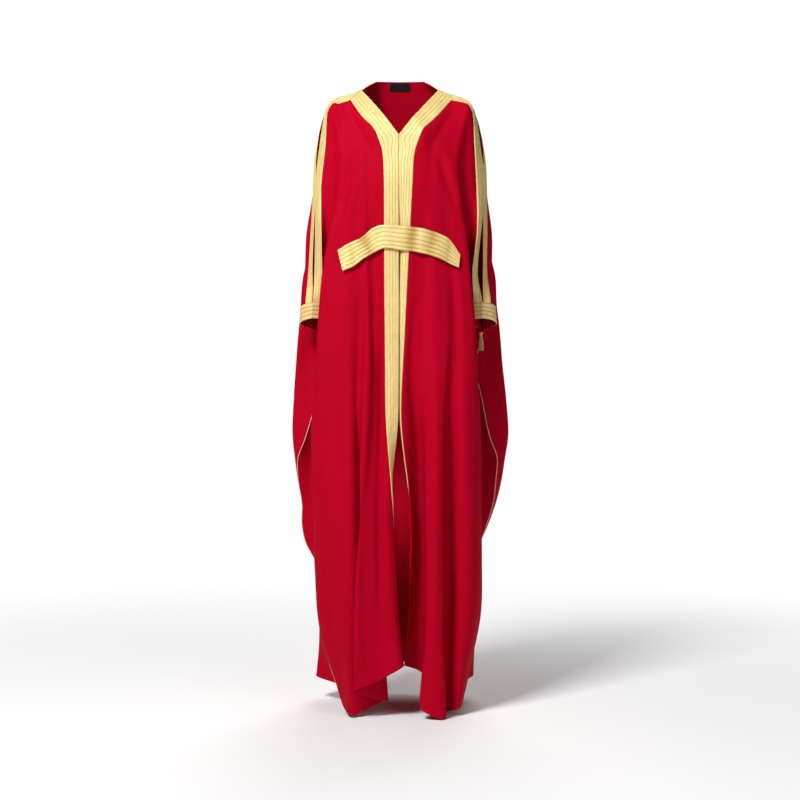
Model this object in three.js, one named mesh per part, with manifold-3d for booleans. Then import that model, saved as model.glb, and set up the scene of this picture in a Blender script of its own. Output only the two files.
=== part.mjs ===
import * as THREE from 'three';
import { mergeVertices } from 'three/addons/utils/BufferGeometryUtils.js';
import Module from 'manifold-3d';

// Long open-front kaftan with batwing sleeves, shaped as worn.  Millimetres, +Z up, front towards -Y,
// +X is the wearer's left.  The origin is the middle of the shoulders.

// ---- driving sizes ----
const clothThickness = 1.6;
const braidThickness = 1.7;
const braidLift = 0.4;         // clear space between cloth and the braid on it
const pieceGap = 0.5;          // clear space between two braids that meet end to end
const beltLift = 1.3;          // clear space between belt and the braid under it
const seamPull = 2.2;          // how far each panel stops short of the side seam line
const pipingRadius = 1.1;
const cuffTop = 508;           // depth below the shoulders where the wrist braid starts
const cuffBottom = 545;
const hemDepth = 1450;         // nominal depth of the hem, each line has its own drop
const hemFrom = 1250;          // below this the hem's own drop is let in
const wristTilt = 24;          // the back of the wrist ring hangs this much lower than its front
const wristFront = -35;
const wristBack = 48;
const shoulderGap = 1.3;       // clear space between front and back along the shoulder

// Heights at which the fold lines of the front are given.
const foldHeights = { bust: 235, waist: 590, apex: 767, knee: 968 };

// Depths of the rows of the cloth below the bust, down to the wrist ring and then to the hem.
const upperRows = [235, 285, 335, 388, 440, 474, cuffTop, cuffBottom];
const lowerRows = [592, 640, 690, 740, 785, 830, 855, 880, 930, 960, 990, 1040, 1085, 1125, 1188,
  1250, 1300, 1350, 1400, hemDepth];

// ---- front lines: a row for each fold line from the centre edge outwards ----
// top: on the neck edge or shoulder.  trim: outer edge of the neck and shoulder braid.
// chest and hem carry their own height; the other columns are (x, y) at foldHeights.
const frontLeftLines = [
  { line: 'edge', top: [-2, -98, -119], trim: [-2, -103, -157], chest: [-2, -110, -190],
    bust: [-2, -116], waist: [-2, -102], apex: [0, -104], knee: [26, -94], hem: [18, -67, -1362] },
  { line: 'bandMid', top: [5, -96, -110], trim: [19, -103, -152], chest: [14, -110, -186],
    bust: [13, -117], waist: [-1, -118], apex: [0, -121], knee: [24, -110], hem: [14, -84, -1360] },
  { line: 'band', top: [13, -92, -99], trim: [36, -101, -136], chest: [32, -108, -178],
    bust: [29, -116], waist: [11, -127], apex: [3, -137], knee: [22, -126], hem: [10, -100, -1358] },
  { line: 'valley', top: [30, -82, -76], trim: [56, -94, -104], chest: [54, -102, -162],
    bust: [50, -112], waist: [32, -121], apex: [24, -128], knee: [35, -117], hem: [36, -84, -1369] },
  { line: 'fluteSide', top: [44, -67, -59], trim: [70, -83, -90], chest: [64, -97, -155],
    bust: [60, -110], waist: [50, -119], apex: [44, -127], knee: [50, -124], hem: [54, -105, -1378] },
  { line: 'fluteIn', top: [57, -52, -42], trim: [84, -72, -75], chest: [74, -91, -148],
    bust: [70, -108], waist: [79, -127], apex: [67, -141], knee: [58, -160], hem: [51, -185, -1445] },
  { line: 'fluteOut', top: [92, 0, 4], trim: [122, -22, -25], chest: [94, -85, -138],
    bust: [88, -104], waist: [108, -119], apex: [103, -143], knee: [101, -162], hem: [99, -188, -1463] },
  { line: 'trough', top: [108, 1.6, -2], trim: [134, -21, -27], chest: [108, -80, -135],
    bust: [104, -99], waist: [121, -109], apex: [118, -122], knee: [114, -134], hem: [108, -132, -1457] },
  { line: 'swell', top: [125, 3, -7], trim: [145, -21, -29], chest: [122, -75, -135],
    bust: [121, -94], waist: [142, -110], apex: [148, -126], knee: [148, -140], hem: [131, -150, -1450] },
];
const frontRightLines = [
  { line: 'edge', top: [-3, -98, -119], trim: [-3, -103, -157], chest: [-3, -110, -190],
    bust: [-3, -116], waist: [-3, -124], apex: [-4, -135], knee: [-23, -115], hem: [-9, -125, -1359] },
  { line: 'bandMid', top: [-12, -95, -107], trim: [-23, -103, -152], chest: [-21, -110, -186],
    bust: [-20, -117], waist: [-20, -126], apex: [-18, -138], knee: [-20, -131], hem: [0, -140, -1353] },
  { line: 'band', top: [-21, -91, -94], trim: [-42, -101, -136], chest: [-39, -108, -178],
    bust: [-37, -116], waist: [-35, -125], apex: [-33, -138], knee: [-19, -147], hem: [9, -155, -1348] },
  { line: 'flank', top: [-36, -80, -73], trim: [-61, -94, -105], chest: [-58, -102, -162],
    bust: [-56, -112], waist: [-47, -114], apex: [-44, -127], knee: [-32, -155], hem: [7, -170, -1348] },
  { line: 'valley', top: [-61, -50, -38], trim: [-87, -72, -75], chest: [-76, -91, -148],
    bust: [-72, -108], waist: [-60, -113], apex: [-58, -126], knee: [-56, -153], hem: [-50, -180, -1378] },
  { line: 'pleatTop', top: [-92, 0, 4], trim: [-118, -22, -24], chest: [-94, -85, -138],
    bust: [-88, -105], waist: [-76, -125], apex: [-83, -141], knee: [-90, -163], hem: [-106, -190, -1400] },
  { line: 'pleatUnder', top: [-103, 1, 0], trim: [-126, -21, -27], chest: [-101, -82, -136],
    bust: [-95, -101], waist: [-88, -118], apex: [-92, -130], knee: [-60, -134], hem: [-27, -125, -1434] },
  { line: 'pleatBack', top: [-112, 2, -3], trim: [-133, -21, -29], chest: [-108, -80, -135],
    bust: [-103, -98], waist: [-98, -117], apex: [-99, -125], knee: [-62, -121], hem: [-29, -111, -1434] },
  { line: 'swell', top: [-123, 3, -7], trim: [-140, -21, -31], chest: [-116, -77, -135],
    bust: [-114, -95], waist: [-118, -121], apex: [-118, -134], knee: [-119, -150],
    hem: [-114, -168, -1457] },
  { line: 'flat', top: [-132, 3.6, -10], trim: [-146, -21, -33], chest: [-126, -73, -135],
    bust: [-125, -90], waist: [-150, -112], apex: [-154, -122], knee: [-158, -132],
    hem: [-131, -128, -1446] },
];

// ---- side lines above the wrist ring, (x, y) at each depth ----
// ridge: body ridge.  trough: gap beside the sleeve.  pit: bottom of that gap.  inner, arm: sleeve.
// slit: front edge of the sleeve slit.  slitBack, armBack, outer, pitBack, wing: the same on the back.
const upperLeft = [
  { depth: 235, ridge: [137, -84], trough: [154, -53], pit: [161, -50], inner: [169, -48],
    arm: [181, -40], slit: [204, -12], slitBack: [197, 0], armBack: [209, 28], outer: [210, 48],
    pitBack: [202, 62], wing: [186, 74] },
  { depth: 335, ridge: [151, -90], trough: [166, -42], pit: [170, -40], inner: [174, -45],
    arm: [182, -55], slit: [192, -25], slitBack: [197, -20], armBack: [209, 9], outer: [222, 28],
    pitBack: [217, 50], wing: [205, 67] },
  { depth: 440, ridge: [161, -94], trough: [144, -22], pit: [159, 6], inner: [170, -20],
    arm: [171, -50], slit: [184, -24], slitBack: [197, -25], armBack: [209, 3], outer: [222, 18],
    pitBack: [220, 35], wing: [232, 50] },
  { depth: 508, ridge: [166, -96], trough: [142, 2], pit: [188, 36], inner: [172, 0],
    arm: [175, -31], slit: [195.5, -37], slitBack: [197, -37], armBack: [217, -26], outer: [228, 3],
    pitBack: [203, 47], wing: [236, 52] },
  { depth: 545, ridge: [169, -98], trough: [140, 14], pit: [198.5, 47.5], inner: [174, 3],
    arm: [176, -28], slit: [196.5, -35], slitBack: [198, -35], armBack: [218, -25], outer: [231, 3],
    pitBack: [201.7, 48.5], wing: [241, 52] },
];
const upperRight = [
  { depth: 235, ridge: [-136, -84], trough: [-162, -58], pit: [-168, -54], inner: [-174, -50],
    arm: [-186, -42], slit: [-202, -14], slitBack: [-201, 0], armBack: [-209, 28], outer: [-210, 48],
    pitBack: [-203, 62], wing: [-187, 74] },
  { depth: 335, ridge: [-160, -90], trough: [-172, -48], pit: [-175, -45], inner: [-178, -49],
    arm: [-185, -57], slit: [-201, -28], slitBack: [-205, -18], armBack: [-214, 12],
    outer: [-226, 30], pitBack: [-220, 50], wing: [-206, 67] },
  { depth: 440, ridge: [-179, -94], trough: [-158, -22], pit: [-173, 6], inner: [-184, -21],
    arm: [-184, -50], slit: [-203, -26], slitBack: [-208, -25], armBack: [-220, 3],
    outer: [-230, 19], pitBack: [-227, 36], wing: [-236, 52] },
  { depth: 508, ridge: [-184, -96], trough: [-155, 2], pit: [-189, 36], inner: [-180, 1],
    arm: [-185, -30], slit: [-206.5, -37], slitBack: [-208, -37], armBack: [-225, -24],
    outer: [-237, 3], pitBack: [-205, 47], wing: [-242, 52] },
  { depth: 545, ridge: [-186, -98], trough: [-152, 14], pit: [-198.5, 47.5], inner: [-181, 3],
    arm: [-187, -28], slit: [-209.5, -35], slitBack: [-211, -35], armBack: [-228, -22],
    outer: [-239, 3], pitBack: [-201.7, 48.5], wing: [-245, 52] },
];

// ---- side lines below the wrist ring, (x, y) at each depth ----
// seam: the side seam with its piping, which runs over the front of the hanging wing.
const lowerLeft = [
  { depth: 592, ridge: [171, -99], trough: [150, 32], seam: [194, 48], wing: [245, 50] },
  { depth: 640, ridge: [174, -100], trough: [160, 32], seam: [184, 44], wing: [248, 47] },
  { depth: 740, ridge: [177, -100], trough: [182, 24], seam: [198, 12], wing: [258, 42] },
  { depth: 830, ridge: [180, -99], trough: [189, 18], seam: [216, -6], wing: [262, 36] },
  { depth: 880, ridge: [181, -98], trough: [193, 18], seam: [233, -4], wing: [254, 32] },
  { depth: 930, ridge: [183, -97], trough: [194, 16], seam: [230, 0], wing: [246, 28] },
  { depth: 990, ridge: [185, -94], trough: [194, 12], seam: [223, 4], wing: [231, 26] },
  { depth: 1040, ridge: [187, -90], trough: [192, 2], seam: [208, 8], wing: [213, 26] },
  { depth: 1085, ridge: [188, -86], trough: [191, -18], seam: [193, 10], wing: [194, 30] },
  { depth: 1250, ridge: [187, -75], trough: [189, -28], seam: [189, 12], wing: [190, 44] },
  { depth: 1340, ridge: [172, -68], trough: [177, -28], seam: [179, 12], wing: [181, 60] },
  { depth: 1450, ridge: [153, -62], trough: [159, -30], seam: [163, 5], wing: [178, 64] },
];
const lowerRight = [
  { depth: 592, ridge: [-188, -99], trough: [-162, 38], seam: [-196, 49], wing: [-249, 50] },
  { depth: 640, ridge: [-189, -100], trough: [-174, 36], seam: [-194, 46], wing: [-252, 47] },
  { depth: 740, ridge: [-196, -99], trough: [-189, 28], seam: [-204, 20], wing: [-258, 42] },
  { depth: 830, ridge: [-199, -98], trough: [-209, 18], seam: [-227, -2], wing: [-260, 36] },
  { depth: 880, ridge: [-198, -97], trough: [-212, 18], seam: [-245, 2], wing: [-254, 30] },
  { depth: 930, ridge: [-198, -95], trough: [-214, 16], seam: [-245, 10], wing: [-247, 34] },
  { depth: 990, ridge: [-197, -93], trough: [-214, 12], seam: [-236, 14], wing: [-237, 38] },
  { depth: 1040, ridge: [-197, -90], trough: [-212, 8], seam: [-236, 14], wing: [-237, 38] },
  { depth: 1085, ridge: [-197, -86], trough: [-209, -2], seam: [-226, 14], wing: [-226, 36] },
  { depth: 1125, ridge: [-197, -82], trough: [-202, -20], seam: [-204, 12], wing: [-206, 34] },
  { depth: 1250, ridge: [-191, -80], trough: [-192, -28], seam: [-193, 12], wing: [-196, 44] },
  { depth: 1340, ridge: [-176, -88], trough: [-181, -35], seam: [-184, 10], wing: [-196, 54] },
  { depth: 1450, ridge: [-148, -100], trough: [-150, -50], seam: [-154, 2], wing: [-204, 56] },
];

// ---- side lines over the shoulder: (x, y, z) on the left; the right has x turned round ----
const shoulderLines = [
  { line: 'ridge', top: [142, 4, -12], trim: [155, -20, -31], chest: [139, -70, -135] },
  { line: 'trough', top: [153, 5, -16], trim: [161, -20, -33], chest: [159, -50, -135] },
  { line: 'pit', top: [159, 5, -19], trim: [164, -19, -36], chest: [164, -47, -135] },
  { line: 'inner', top: [165, 6, -24], trim: [168, -18, -42], chest: [169, -44, -135] },
  { line: 'arm', top: [171, 6, -32], trim: [173, -14, -53], chest: [176, -37, -135] },
  { line: 'slit', top: [178, 6, -44], trim: [182, -1, -65], chest: [192, -9, -135] },
];
const shoulderBackLines = [
  { line: 'wing', top: [150, 5, -15], trim: [158, 29, -35], chest: [174, 78, -135] },
  { line: 'pitBack', top: [159, 5, -19], trim: [164, 27, -40], chest: [188, 66, -135] },
  { line: 'outer', top: [165, 6, -24], trim: [168, 26, -46], chest: [197, 54, -135] },
  { line: 'armBack', top: [171, 6, -32], trim: [173, 23, -55], chest: [201, 34, -135] },
  { line: 'slitBack', top: [178, 6, -44], trim: [187, 12, -67], chest: [199, 6, -135] },
];
// How low each side line reaches at the hem.
const sideHem = {
  left: { ridge: -1427, trough: -1415, seam: -1410, wing: -1409 },
  right: { ridge: -1401, trough: -1410, seam: -1419, wing: -1410 },
};

// ---- back lines from the centre outwards, at a share of the distance to the wing line ----
const backLines = [
  { line: 'spine', share: 0, top: [0, 72, 40], trim: [0, 82, 5], fold: 0 },
  { line: 'nape', share: 0.17, top: [32, 71, 40], trim: [38, 80, 4], fold: 9 },
  { line: 'blade', share: 0.35, top: [57, 60, 38], trim: [72, 71, 0], fold: -7 },
  { line: 'gore', share: 0.52, top: [72, 40, 26], trim: [99, 52, -10], fold: 12 },
  { line: 'collar', share: 0.68, top: [92, 0, 4], trim: [121, 24, -26], fold: -8 },
  { line: 'drop', share: 0.84, top: [122, 3, -6], trim: [140, 29, -29], fold: 10 },
];
const spineDepths = [
  { depth: 235, y: 112 },
  { depth: 440, y: 101 },
  { depth: 640, y: 104 },
  { depth: 880, y: 112 },
  { depth: 1250, y: 128 },
  { depth: 1450, y: 140 },
];
const spineHem = -1393;
const backRoundness = 2.6;     // how square the back is between spine and wing line

// Number of cells between one named line and the next.
const frontLeftCells = [1, 1, 1, 1, 2, 3, 2, 2, 2, 3, 2, 2, 2, 2];
const frontRightCells = [1, 1, 2, 2, 2, 2, 1, 3, 2, 2, 3, 2, 2, 2, 2];
const backHalfCells = [2, 2, 2, 2, 2, 2, 3, 2, 2, 2];

// ---- curves ----
const vector = (p) => new THREE.Vector3(p[0], p[1], p[2] ?? 0);

// A smooth line through points, with a knot for each; the slopes come from the neighbours, and fall
// away where the line turns back on itself.
function through(knots, points) {
  const slopes = points.map((point, i) => {
    const before = i > 0 ? knots[i] - knots[i - 1] : 0;
    const after = i < points.length - 1 ? knots[i + 1] - knots[i] : 0;
    const slope = new THREE.Vector3();
    if (before > 0) slope.addScaledVector(point.clone().sub(points[i - 1]), (after || 1) / before);
    if (after > 0) slope.addScaledVector(points[i + 1].clone().sub(point), (before || 1) / after);
    if (before === 0 || after === 0) return slope;
    const coming = point.clone().sub(points[i - 1]).normalize();
    const going = points[i + 1].clone().sub(point).normalize();
    const softness = Math.min(Math.max(1 + coming.dot(going), 0), 1);
    return slope.multiplyScalar(softness / (before + after));
  });
  return (t) => {
    let i = 0;
    while (i < knots.length - 2 && t > knots[i + 1]) i += 1;
    const span = knots[i + 1] - knots[i];
    const s = Math.min(Math.max((t - knots[i]) / span, 0), 1);
    const result = points[i].clone().multiplyScalar(1 - 3 * s * s + 2 * s ** 3);
    result.addScaledVector(points[i + 1], 3 * s * s - 2 * s ** 3);
    result.addScaledVector(slopes[i], span * (s - 2 * s * s + s ** 3));
    result.addScaledVector(slopes[i + 1], span * (s ** 3 - s * s));
    return result;
  };
}

// Points along a smooth line, with a given number of cells between one given point and the next.
function divided(points, cells, isStraight = false) {
  const knots = [0];
  for (let i = 1; i < points.length; i += 1) {
    knots.push(knots[i - 1] + Math.max(points[i].distanceTo(points[i - 1]), 0.01));
  }
  const line = through(knots, points);
  const result = [points[0].clone()];
  for (let i = 0; i < cells.length; i += 1) {
    for (let k = 1; k <= cells[i]; k += 1) {
      const share = k / cells[i];
      if (isStraight) result.push(points[i].clone().lerp(points[i + 1], share));
      else result.push(line(knots[i] + (knots[i + 1] - knots[i]) * share));
    }
  }
  return result;
}

const eased = (t) => {
  const s = Math.min(Math.max(t, 0), 1);
  return s * s * (3 - 2 * s);
};

// How far a point near the wrist ring hangs below its nominal depth.
function wristDrop(depth, y, share) {
  const near = depth <= cuffBottom ? eased((depth - 450) / (cuffBottom - 450))
    : 1 - eased((depth - cuffBottom) / 120);
  return share * near * wristTilt * (y - wristFront) / (wristBack - wristFront);
}

// A column of cloth points: the shoulder part through top, trim and chest, then one for each depth.
function column(head, line, hem, share, rows) {
  const below = rows.map((depth) => {
    const p = line(depth);
    const drop = depth > hemFrom ? (depth - hemFrom) * (-hem - hemFrom) / (hemDepth - hemFrom) : 0;
    p.z = -(Math.min(depth, hemFrom) + drop + wristDrop(depth, p.y, share));
    return p;
  });
  const second = line(335);
  second.z = -335;
  const shoulder = divided([...head.map(vector), below[0], second], [2, 2, 2, 1]).slice(0, 6);
  return [...shoulder, ...below];
}

// ---- panels: grids of points, an upper part and a narrower lower part ----
const mirrored = (p, side) => [side * p[0], p[1], p[2]];

// One front, from its centre edge to the slit of the sleeve.
function frontGrid(side, foldLines, upper, lower, hems, cells, centreShift) {
  const allRows = [...upperRows, ...lowerRows];
  const columns = foldLines.map((fold) => {
    const heights = Object.keys(foldHeights);
    const knots = [...heights.map((name) => foldHeights[name]), hemDepth];
    const points = [...heights.map((name) => vector(fold[name])), vector(fold.hem.slice(0, 2))];
    return column([fold.top, fold.trim, fold.chest], through(knots, points), fold.hem[2], 0, allRows);
  });
  for (const row of columns[0]) row.x += centreShift;
  for (const name of ['ridge', 'trough', 'pit']) {
    const head = shoulderLines.find((entry) => entry.line === name);
    const lowerName = name === 'pit' ? 'seam' : name;
    const knots = [...upper.map((row) => row.depth), ...lower.map((row) => row.depth)];
    const points = [...upper.map((row) => row[name]), ...lower.map((row) => row[lowerName])].map(vector);
    const heads = [head.top, head.trim, head.chest].map((p) => mirrored(p, side));
    const share = { ridge: 0, trough: 0.4, pit: 1 }[name];
    columns.push(column(heads, through(knots, points), hems[lowerName], share, allRows));
  }
  const pitIndex = columns.length - 1;
  for (const name of ['inner', 'arm', 'slit']) {
    const head = shoulderLines.find((entry) => entry.line === name);
    const heads = [head.top, head.trim, head.chest].map((p) => mirrored(p, side));
    const line = through(upper.map((row) => row.depth), upper.map((row) => vector(row[name])));
    columns.push(column(heads, line, -hemDepth, 1, upperRows));
  }
  return rowsOf(columns, pitIndex, cells, -shoulderGap / 2);
}

// One half of the back, from the spine to the slit of the sleeve.
function backGrid(side, upper, lower, hems) {
  const allRows = [...upperRows, ...lowerRows];
  const knots = [...upper.map((row) => row.depth), ...lower.map((row) => row.depth)];
  const wing = through(knots, [...upper, ...lower].map((row) => vector(row.wing)));
  const spinePoints = spineDepths.map((row) => vector([0, row.y]));
  const spine = through(spineDepths.map((row) => row.depth), spinePoints);
  const columns = backLines.map((entry) => {
    const line = (depth) => {
      const end = wing(depth);
      const middle = spine(depth).y;
      const soften = eased((depth - 300) / 900);
      const fold = entry.fold * soften * (side > 0 ? 1 : 0.7);
      const y = middle + (end.y - middle) * entry.share ** backRoundness + fold;
      return new THREE.Vector3(end.x * entry.share, y, 0);
    };
    const hem = spineHem + (hems.wing - spineHem) * entry.share;
    const wingChest = shoulderBackLines[0].chest;
    const chestY = 106 + (wingChest[1] - 106) * entry.share ** backRoundness;
    const chest = [side * wingChest[0] * entry.share, chestY, -135];
    const heads = [mirrored(entry.top, side), mirrored(entry.trim, side), chest];
    return column(heads, line, hem, 0, allRows);
  });
  for (const name of ['wing', 'pitBack']) {
    const head = shoulderBackLines.find((entry) => entry.line === name);
    const lowerName = name === 'pitBack' ? 'seam' : name;
    const points = [...upper.map((row) => row[name]), ...lower.map((row) => row[lowerName])].map(vector);
    const heads = [head.top, head.trim, head.chest].map((p) => mirrored(p, side));
    const share = name === 'wing' ? 0.3 : 1;
    columns.push(column(heads, through(knots, points), hems[lowerName], share, allRows));
  }
  const pitIndex = columns.length - 1;
  for (const name of ['outer', 'armBack', 'slitBack']) {
    const head = shoulderBackLines.find((entry) => entry.line === name);
    const heads = [head.top, head.trim, head.chest].map((p) => mirrored(p, side));
    const line = through(upper.map((row) => row.depth), upper.map((row) => vector(row[name])));
    columns.push(column(heads, line, -hemDepth, 1, upperRows));
  }
  return rowsOf(columns, pitIndex, backHalfCells, shoulderGap / 2);
}

// Turns columns into rows with the cells between named lines filled in, and stops the side seam short.
function rowsOf(columns, pitIndex, cells, seamShift) {
  const short = 6 + upperRows.length;
  const rows = [];
  const seam = [];
  for (let r = 0; r < columns[0].length; r += 1) {
    const named = columns.filter((points) => points.length > r).map((points) => points[r].clone());
    if (r === 0) {
      const onShoulder = named.filter((p) => p.z > -60 && p.y < 10 && p.y > -5);
      for (const p of onShoulder) p.y += seamShift;
    }
    if (r >= short) {
      const end = named[pitIndex];
      seam.push(end.clone());
      const inward = named[pitIndex - 1].clone().sub(end).setZ(0).normalize();
      end.addScaledVector(inward, seamPull);
    }
    rows.push(divided(named, cells.slice(0, named.length - 1), r === 0));
  }
  return { rows, pit: cells.slice(0, pitIndex).reduce((a, b) => a + b, 0), seam };
}

// ---- solids ----
// across: the column of each point.  faceAcross: where each face stands between the columns.
function meshData() {
  return { points: [], faces: [], across: [], faceAcross: [] };
}

// The cells of a grid that lie between two rows and two columns, as an open surface.
// From column turnFrom on, the cells are halved along their other diagonal.
function surface(rows, rowFrom, rowTo, columnFrom, columnTo, turnFrom = 1000) {
  const data = meshData();
  const index = new Map();
  const at = (r, c) => {
    const key = r * 1000 + c;
    if (!index.has(key)) {
      index.set(key, data.points.length);
      data.points.push(rows[r][c].clone());
      data.across.push(c);
    }
    return index.get(key);
  };
  for (let r = rowFrom; r < rowTo; r += 1) {
    const end = Math.min(columnTo, rows[r + 1].length - 1, rows[r].length - 1);
    for (let c = columnFrom; c < end; c += 1) {
      const corners = [at(r, c), at(r + 1, c), at(r + 1, c + 1), at(r, c + 1)];
      if (c >= turnFrom) corners.push(corners.shift());
      const [a, b, d, e] = corners;
      data.faces.push([a, b, d], [a, d, e]);
      data.faceAcross.push(c + 0.5, c + 0.5);
    }
  }
  data.at = (r, c) => index.get(r * 1000 + c);
  return data;
}

// The way out at each point: halfway between the cloth on its one side and on its other side,
// so that a wall stays open where it turns back sharply.
function normalsOf(data) {
  const bySide = [0, 1].map(() => data.points.map(() => new THREE.Vector3()));
  data.faces.forEach(([a, b, c], i) => {
    const sides = [[a, b, c], [b, c, a], [c, a, b]];
    for (const [at, next, before] of sides) {
      const first = data.points[next].clone().sub(data.points[at]).normalize();
      const second = data.points[before].clone().sub(data.points[at]).normalize();
      const normal = first.clone().cross(second);
      const side = data.faceAcross[i] < data.across[at] ? 0 : 1;
      bySide[side][at].addScaledVector(normal.normalize(), Math.acos(first.dot(second)));
    }
  });
  return bySide[0].map((normal, i) => normal.normalize().add(bySide[1][i].normalize()).normalize());
}

// Closes an open surface into a wall that lies between two distances along the normals.
function wall(data, normals, near, far) {
  const count = data.points.length;
  const points = data.points.map((p, i) => p.clone().addScaledVector(normals[i], far));
  points.push(...data.points.map((p, i) => p.clone().addScaledVector(normals[i], near)));
  const faces = [];
  const edges = new Map();
  for (const [a, b, c] of data.faces) {
    faces.push([a, b, c], [a + count, c + count, b + count]);
    for (const [p, q] of [[a, b], [b, c], [c, a]]) {
      if (edges.has(`${q},${p}`)) edges.delete(`${q},${p}`);
      else edges.set(`${p},${q}`, [p, q]);
    }
  }
  for (const [p, q] of edges.values()) faces.push([p, p + count, q + count], [p, q + count, q]);
  return { points, faces };
}

function geometryOf({ points, faces }) {
  const geometry = new THREE.BufferGeometry();
  const numbers = points.flatMap((p) => [p.x, p.y, p.z]);
  geometry.setAttribute('position', new THREE.Float32BufferAttribute(numbers, 3));
  geometry.setIndex(faces.flat());
  geometry.computeVertexNormals();
  return geometry;
}

// Turns every face round where a grid runs the other way.
const flipped = (data) => ({ ...data, faces: data.faces.map(([a, b, c]) => [a, c, b]) });

const group = new THREE.Group();
const colours = {
  red_cloth: 0xb00a26,
  gold_braid: 0xd9bd68,
  gold_piping: 0xe2cf8c,
  gold_tassel: 0xd2b45c,
  black_label: 0x151515,
};
function add(name, slot, data) {
  const material = new THREE.MeshStandardMaterial({ color: colours[slot], roughness: 0.7 });
  material.name = slot;
  const mesh = new THREE.Mesh(geometryOf(data), material);
  mesh.name = name;
  group.add(mesh);
}

// ---- the three panels ----
const half = clothThickness / 2;
const centreShift = 0.2;
const left = frontGrid(1, frontLeftLines, upperLeft, lowerLeft, sideHem.left, frontLeftCells, centreShift);
const right = frontGrid(-1, frontRightLines, upperRight, lowerRight, sideHem.right, frontRightCells,
  -centreShift);
const backLeft = backGrid(1, upperLeft, lowerLeft, sideHem.left);
const backRight = backGrid(-1, upperRight, lowerRight, sideHem.right);

// An L-shaped panel: the full width down to the wrist, then only as far as the side seam.
function panelSurface(grid) {
  return surface(grid.rows, 0, grid.rows.length - 1, 0, 1000);
}

const leftSurface = panelSurface(left);
const rightSurface = flipped(panelSurface(right));
const leftNormals = normalsOf(leftSurface);
const rightNormals = normalsOf(rightSurface);
add('front_left', 'red_cloth', wall(leftSurface, leftNormals, -half, half));
add('front_right', 'red_cloth', wall(rightSurface, rightNormals, -half, half));

// The back is one piece: the right half from its slit to the spine, then the left half.
const backLeftSurface = flipped(panelSurface(backLeft));
const backRightSurface = panelSurface(backRight);
function joinedBack() {
  const data = {
    points: [...backLeftSurface.points],
    faces: [...backLeftSurface.faces],
    across: [...backLeftSurface.across],
    faceAcross: [...backLeftSurface.faceAcross],
  };
  const tiny = 1e-6;
  const place = backRightSurface.points.map((p, i) => {
    if (Math.abs(p.x) > tiny) {
      data.points.push(p);
      data.across.push(-backRightSurface.across[i]);
      return data.points.length - 1;
    }
    return data.points.findIndex((q) => Math.abs(q.x) < tiny && Math.abs(q.z - p.z) < tiny);
  });
  backRightSurface.faces.forEach((face, i) => {
    data.faces.push(face.map((k) => place[k]));
    data.faceAcross.push(-backRightSurface.faceAcross[i]);
  });
  return { data, place };
}
const back = joinedBack();
const backNormals = normalsOf(back.data);
add('back', 'red_cloth', wall(back.data, backNormals, -half, half));
const backLeftNormals = backNormals.slice(0, backLeftSurface.points.length);
const backRightNormals = back.place.map((i) => backNormals[i]);

// ---- braids: cells of a panel moved out, each a little short of its neighbours ----
const braidNear = half + braidLift;
const braidFar = braidNear + braidThickness;

function braid(grid, panel, normals, isFlipped, range, shortSides) {
  const [rowFrom, rowTo, columnFrom, columnTo] = range;
  const shifted = grid.rows.map((row) => row.map((p) => p.clone()));
  const pull = (r, c, r2, c2) => {
    const normal = normals[panel.at(r, c)];
    const step = grid.rows[r2][c2].clone().sub(grid.rows[r][c]);
    step.addScaledVector(normal, -step.dot(normal)).normalize();
    shifted[r][c].addScaledVector(step, pieceGap / 2);
  };
  for (let c = columnFrom; c <= columnTo; c += 1) {
    if (shortSides.includes('above')) pull(rowFrom, c, rowFrom + 1, c);
    if (shortSides.includes('below')) pull(rowTo, c, rowTo - 1, c);
  }
  for (let r = rowFrom; r <= rowTo; r += 1) {
    if (shortSides.includes('inside')) pull(r, columnFrom, r, columnFrom + 1);
    if (shortSides.includes('outside')) pull(r, columnTo, r, columnTo - 1);
  }
  const strip = surface(shifted, rowFrom, rowTo, columnFrom, columnTo);
  const stripNormals = [];
  for (let r = rowFrom; r <= rowTo; r += 1) {
    for (let c = columnFrom; c <= columnTo; c += 1) {
      if (strip.at(r, c) !== undefined) stripNormals[strip.at(r, c)] = normals[panel.at(r, c)];
    }
  }
  const data = isFlipped ? flipped(strip) : strip;
  return wall(data, stripNormals, braidNear, braidFar);
}

const upTo = (cells, count) => cells.slice(0, count).reduce((a, b) => a + b, 0);
const cuffRow = 6 + upperRows.indexOf(cuffTop);
const lastRow = left.rows.length - 1;
// collar: the line where neck braid and shoulder braid meet.
const fronts = [
  { side: 'left', grid: left, panel: leftSurface, normals: leftNormals, turn: false,
    cells: frontLeftCells, collar: 6 },
  { side: 'right', grid: right, panel: rightSurface, normals: rightNormals, turn: true,
    cells: frontRightCells, collar: 5 },
];
for (const front of fronts) {
  const { side, grid, panel, normals, turn, cells, collar } = front;
  const band = upTo(cells, 2);
  const neck = upTo(cells, collar);
  const arm = upTo(cells, cells.length - 1);
  const slit = upTo(cells, cells.length);
  const make = (range, sides) => braid(grid, panel, normals, turn, range, sides);
  add(`centre_braid_${side}`, 'gold_braid', make([0, lastRow, 0, band], ['outside']));
  add(`neck_braid_${side}`, 'gold_braid', make([0, 2, band, neck], ['inside', 'outside']));
  add(`shoulder_braid_${side}`, 'gold_braid', make([0, 2, neck, arm], ['inside', 'outside']));
  add(`sleeve_braid_${side}`, 'gold_braid', make([0, cuffRow, arm, slit], ['inside', 'below']));
}
const backs = [
  { side: 'left', grid: backLeft, panel: backLeftSurface, normals: backLeftNormals, turn: true },
  { side: 'right', grid: backRight, panel: backRightSurface, normals: backRightNormals, turn: false },
];
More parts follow.
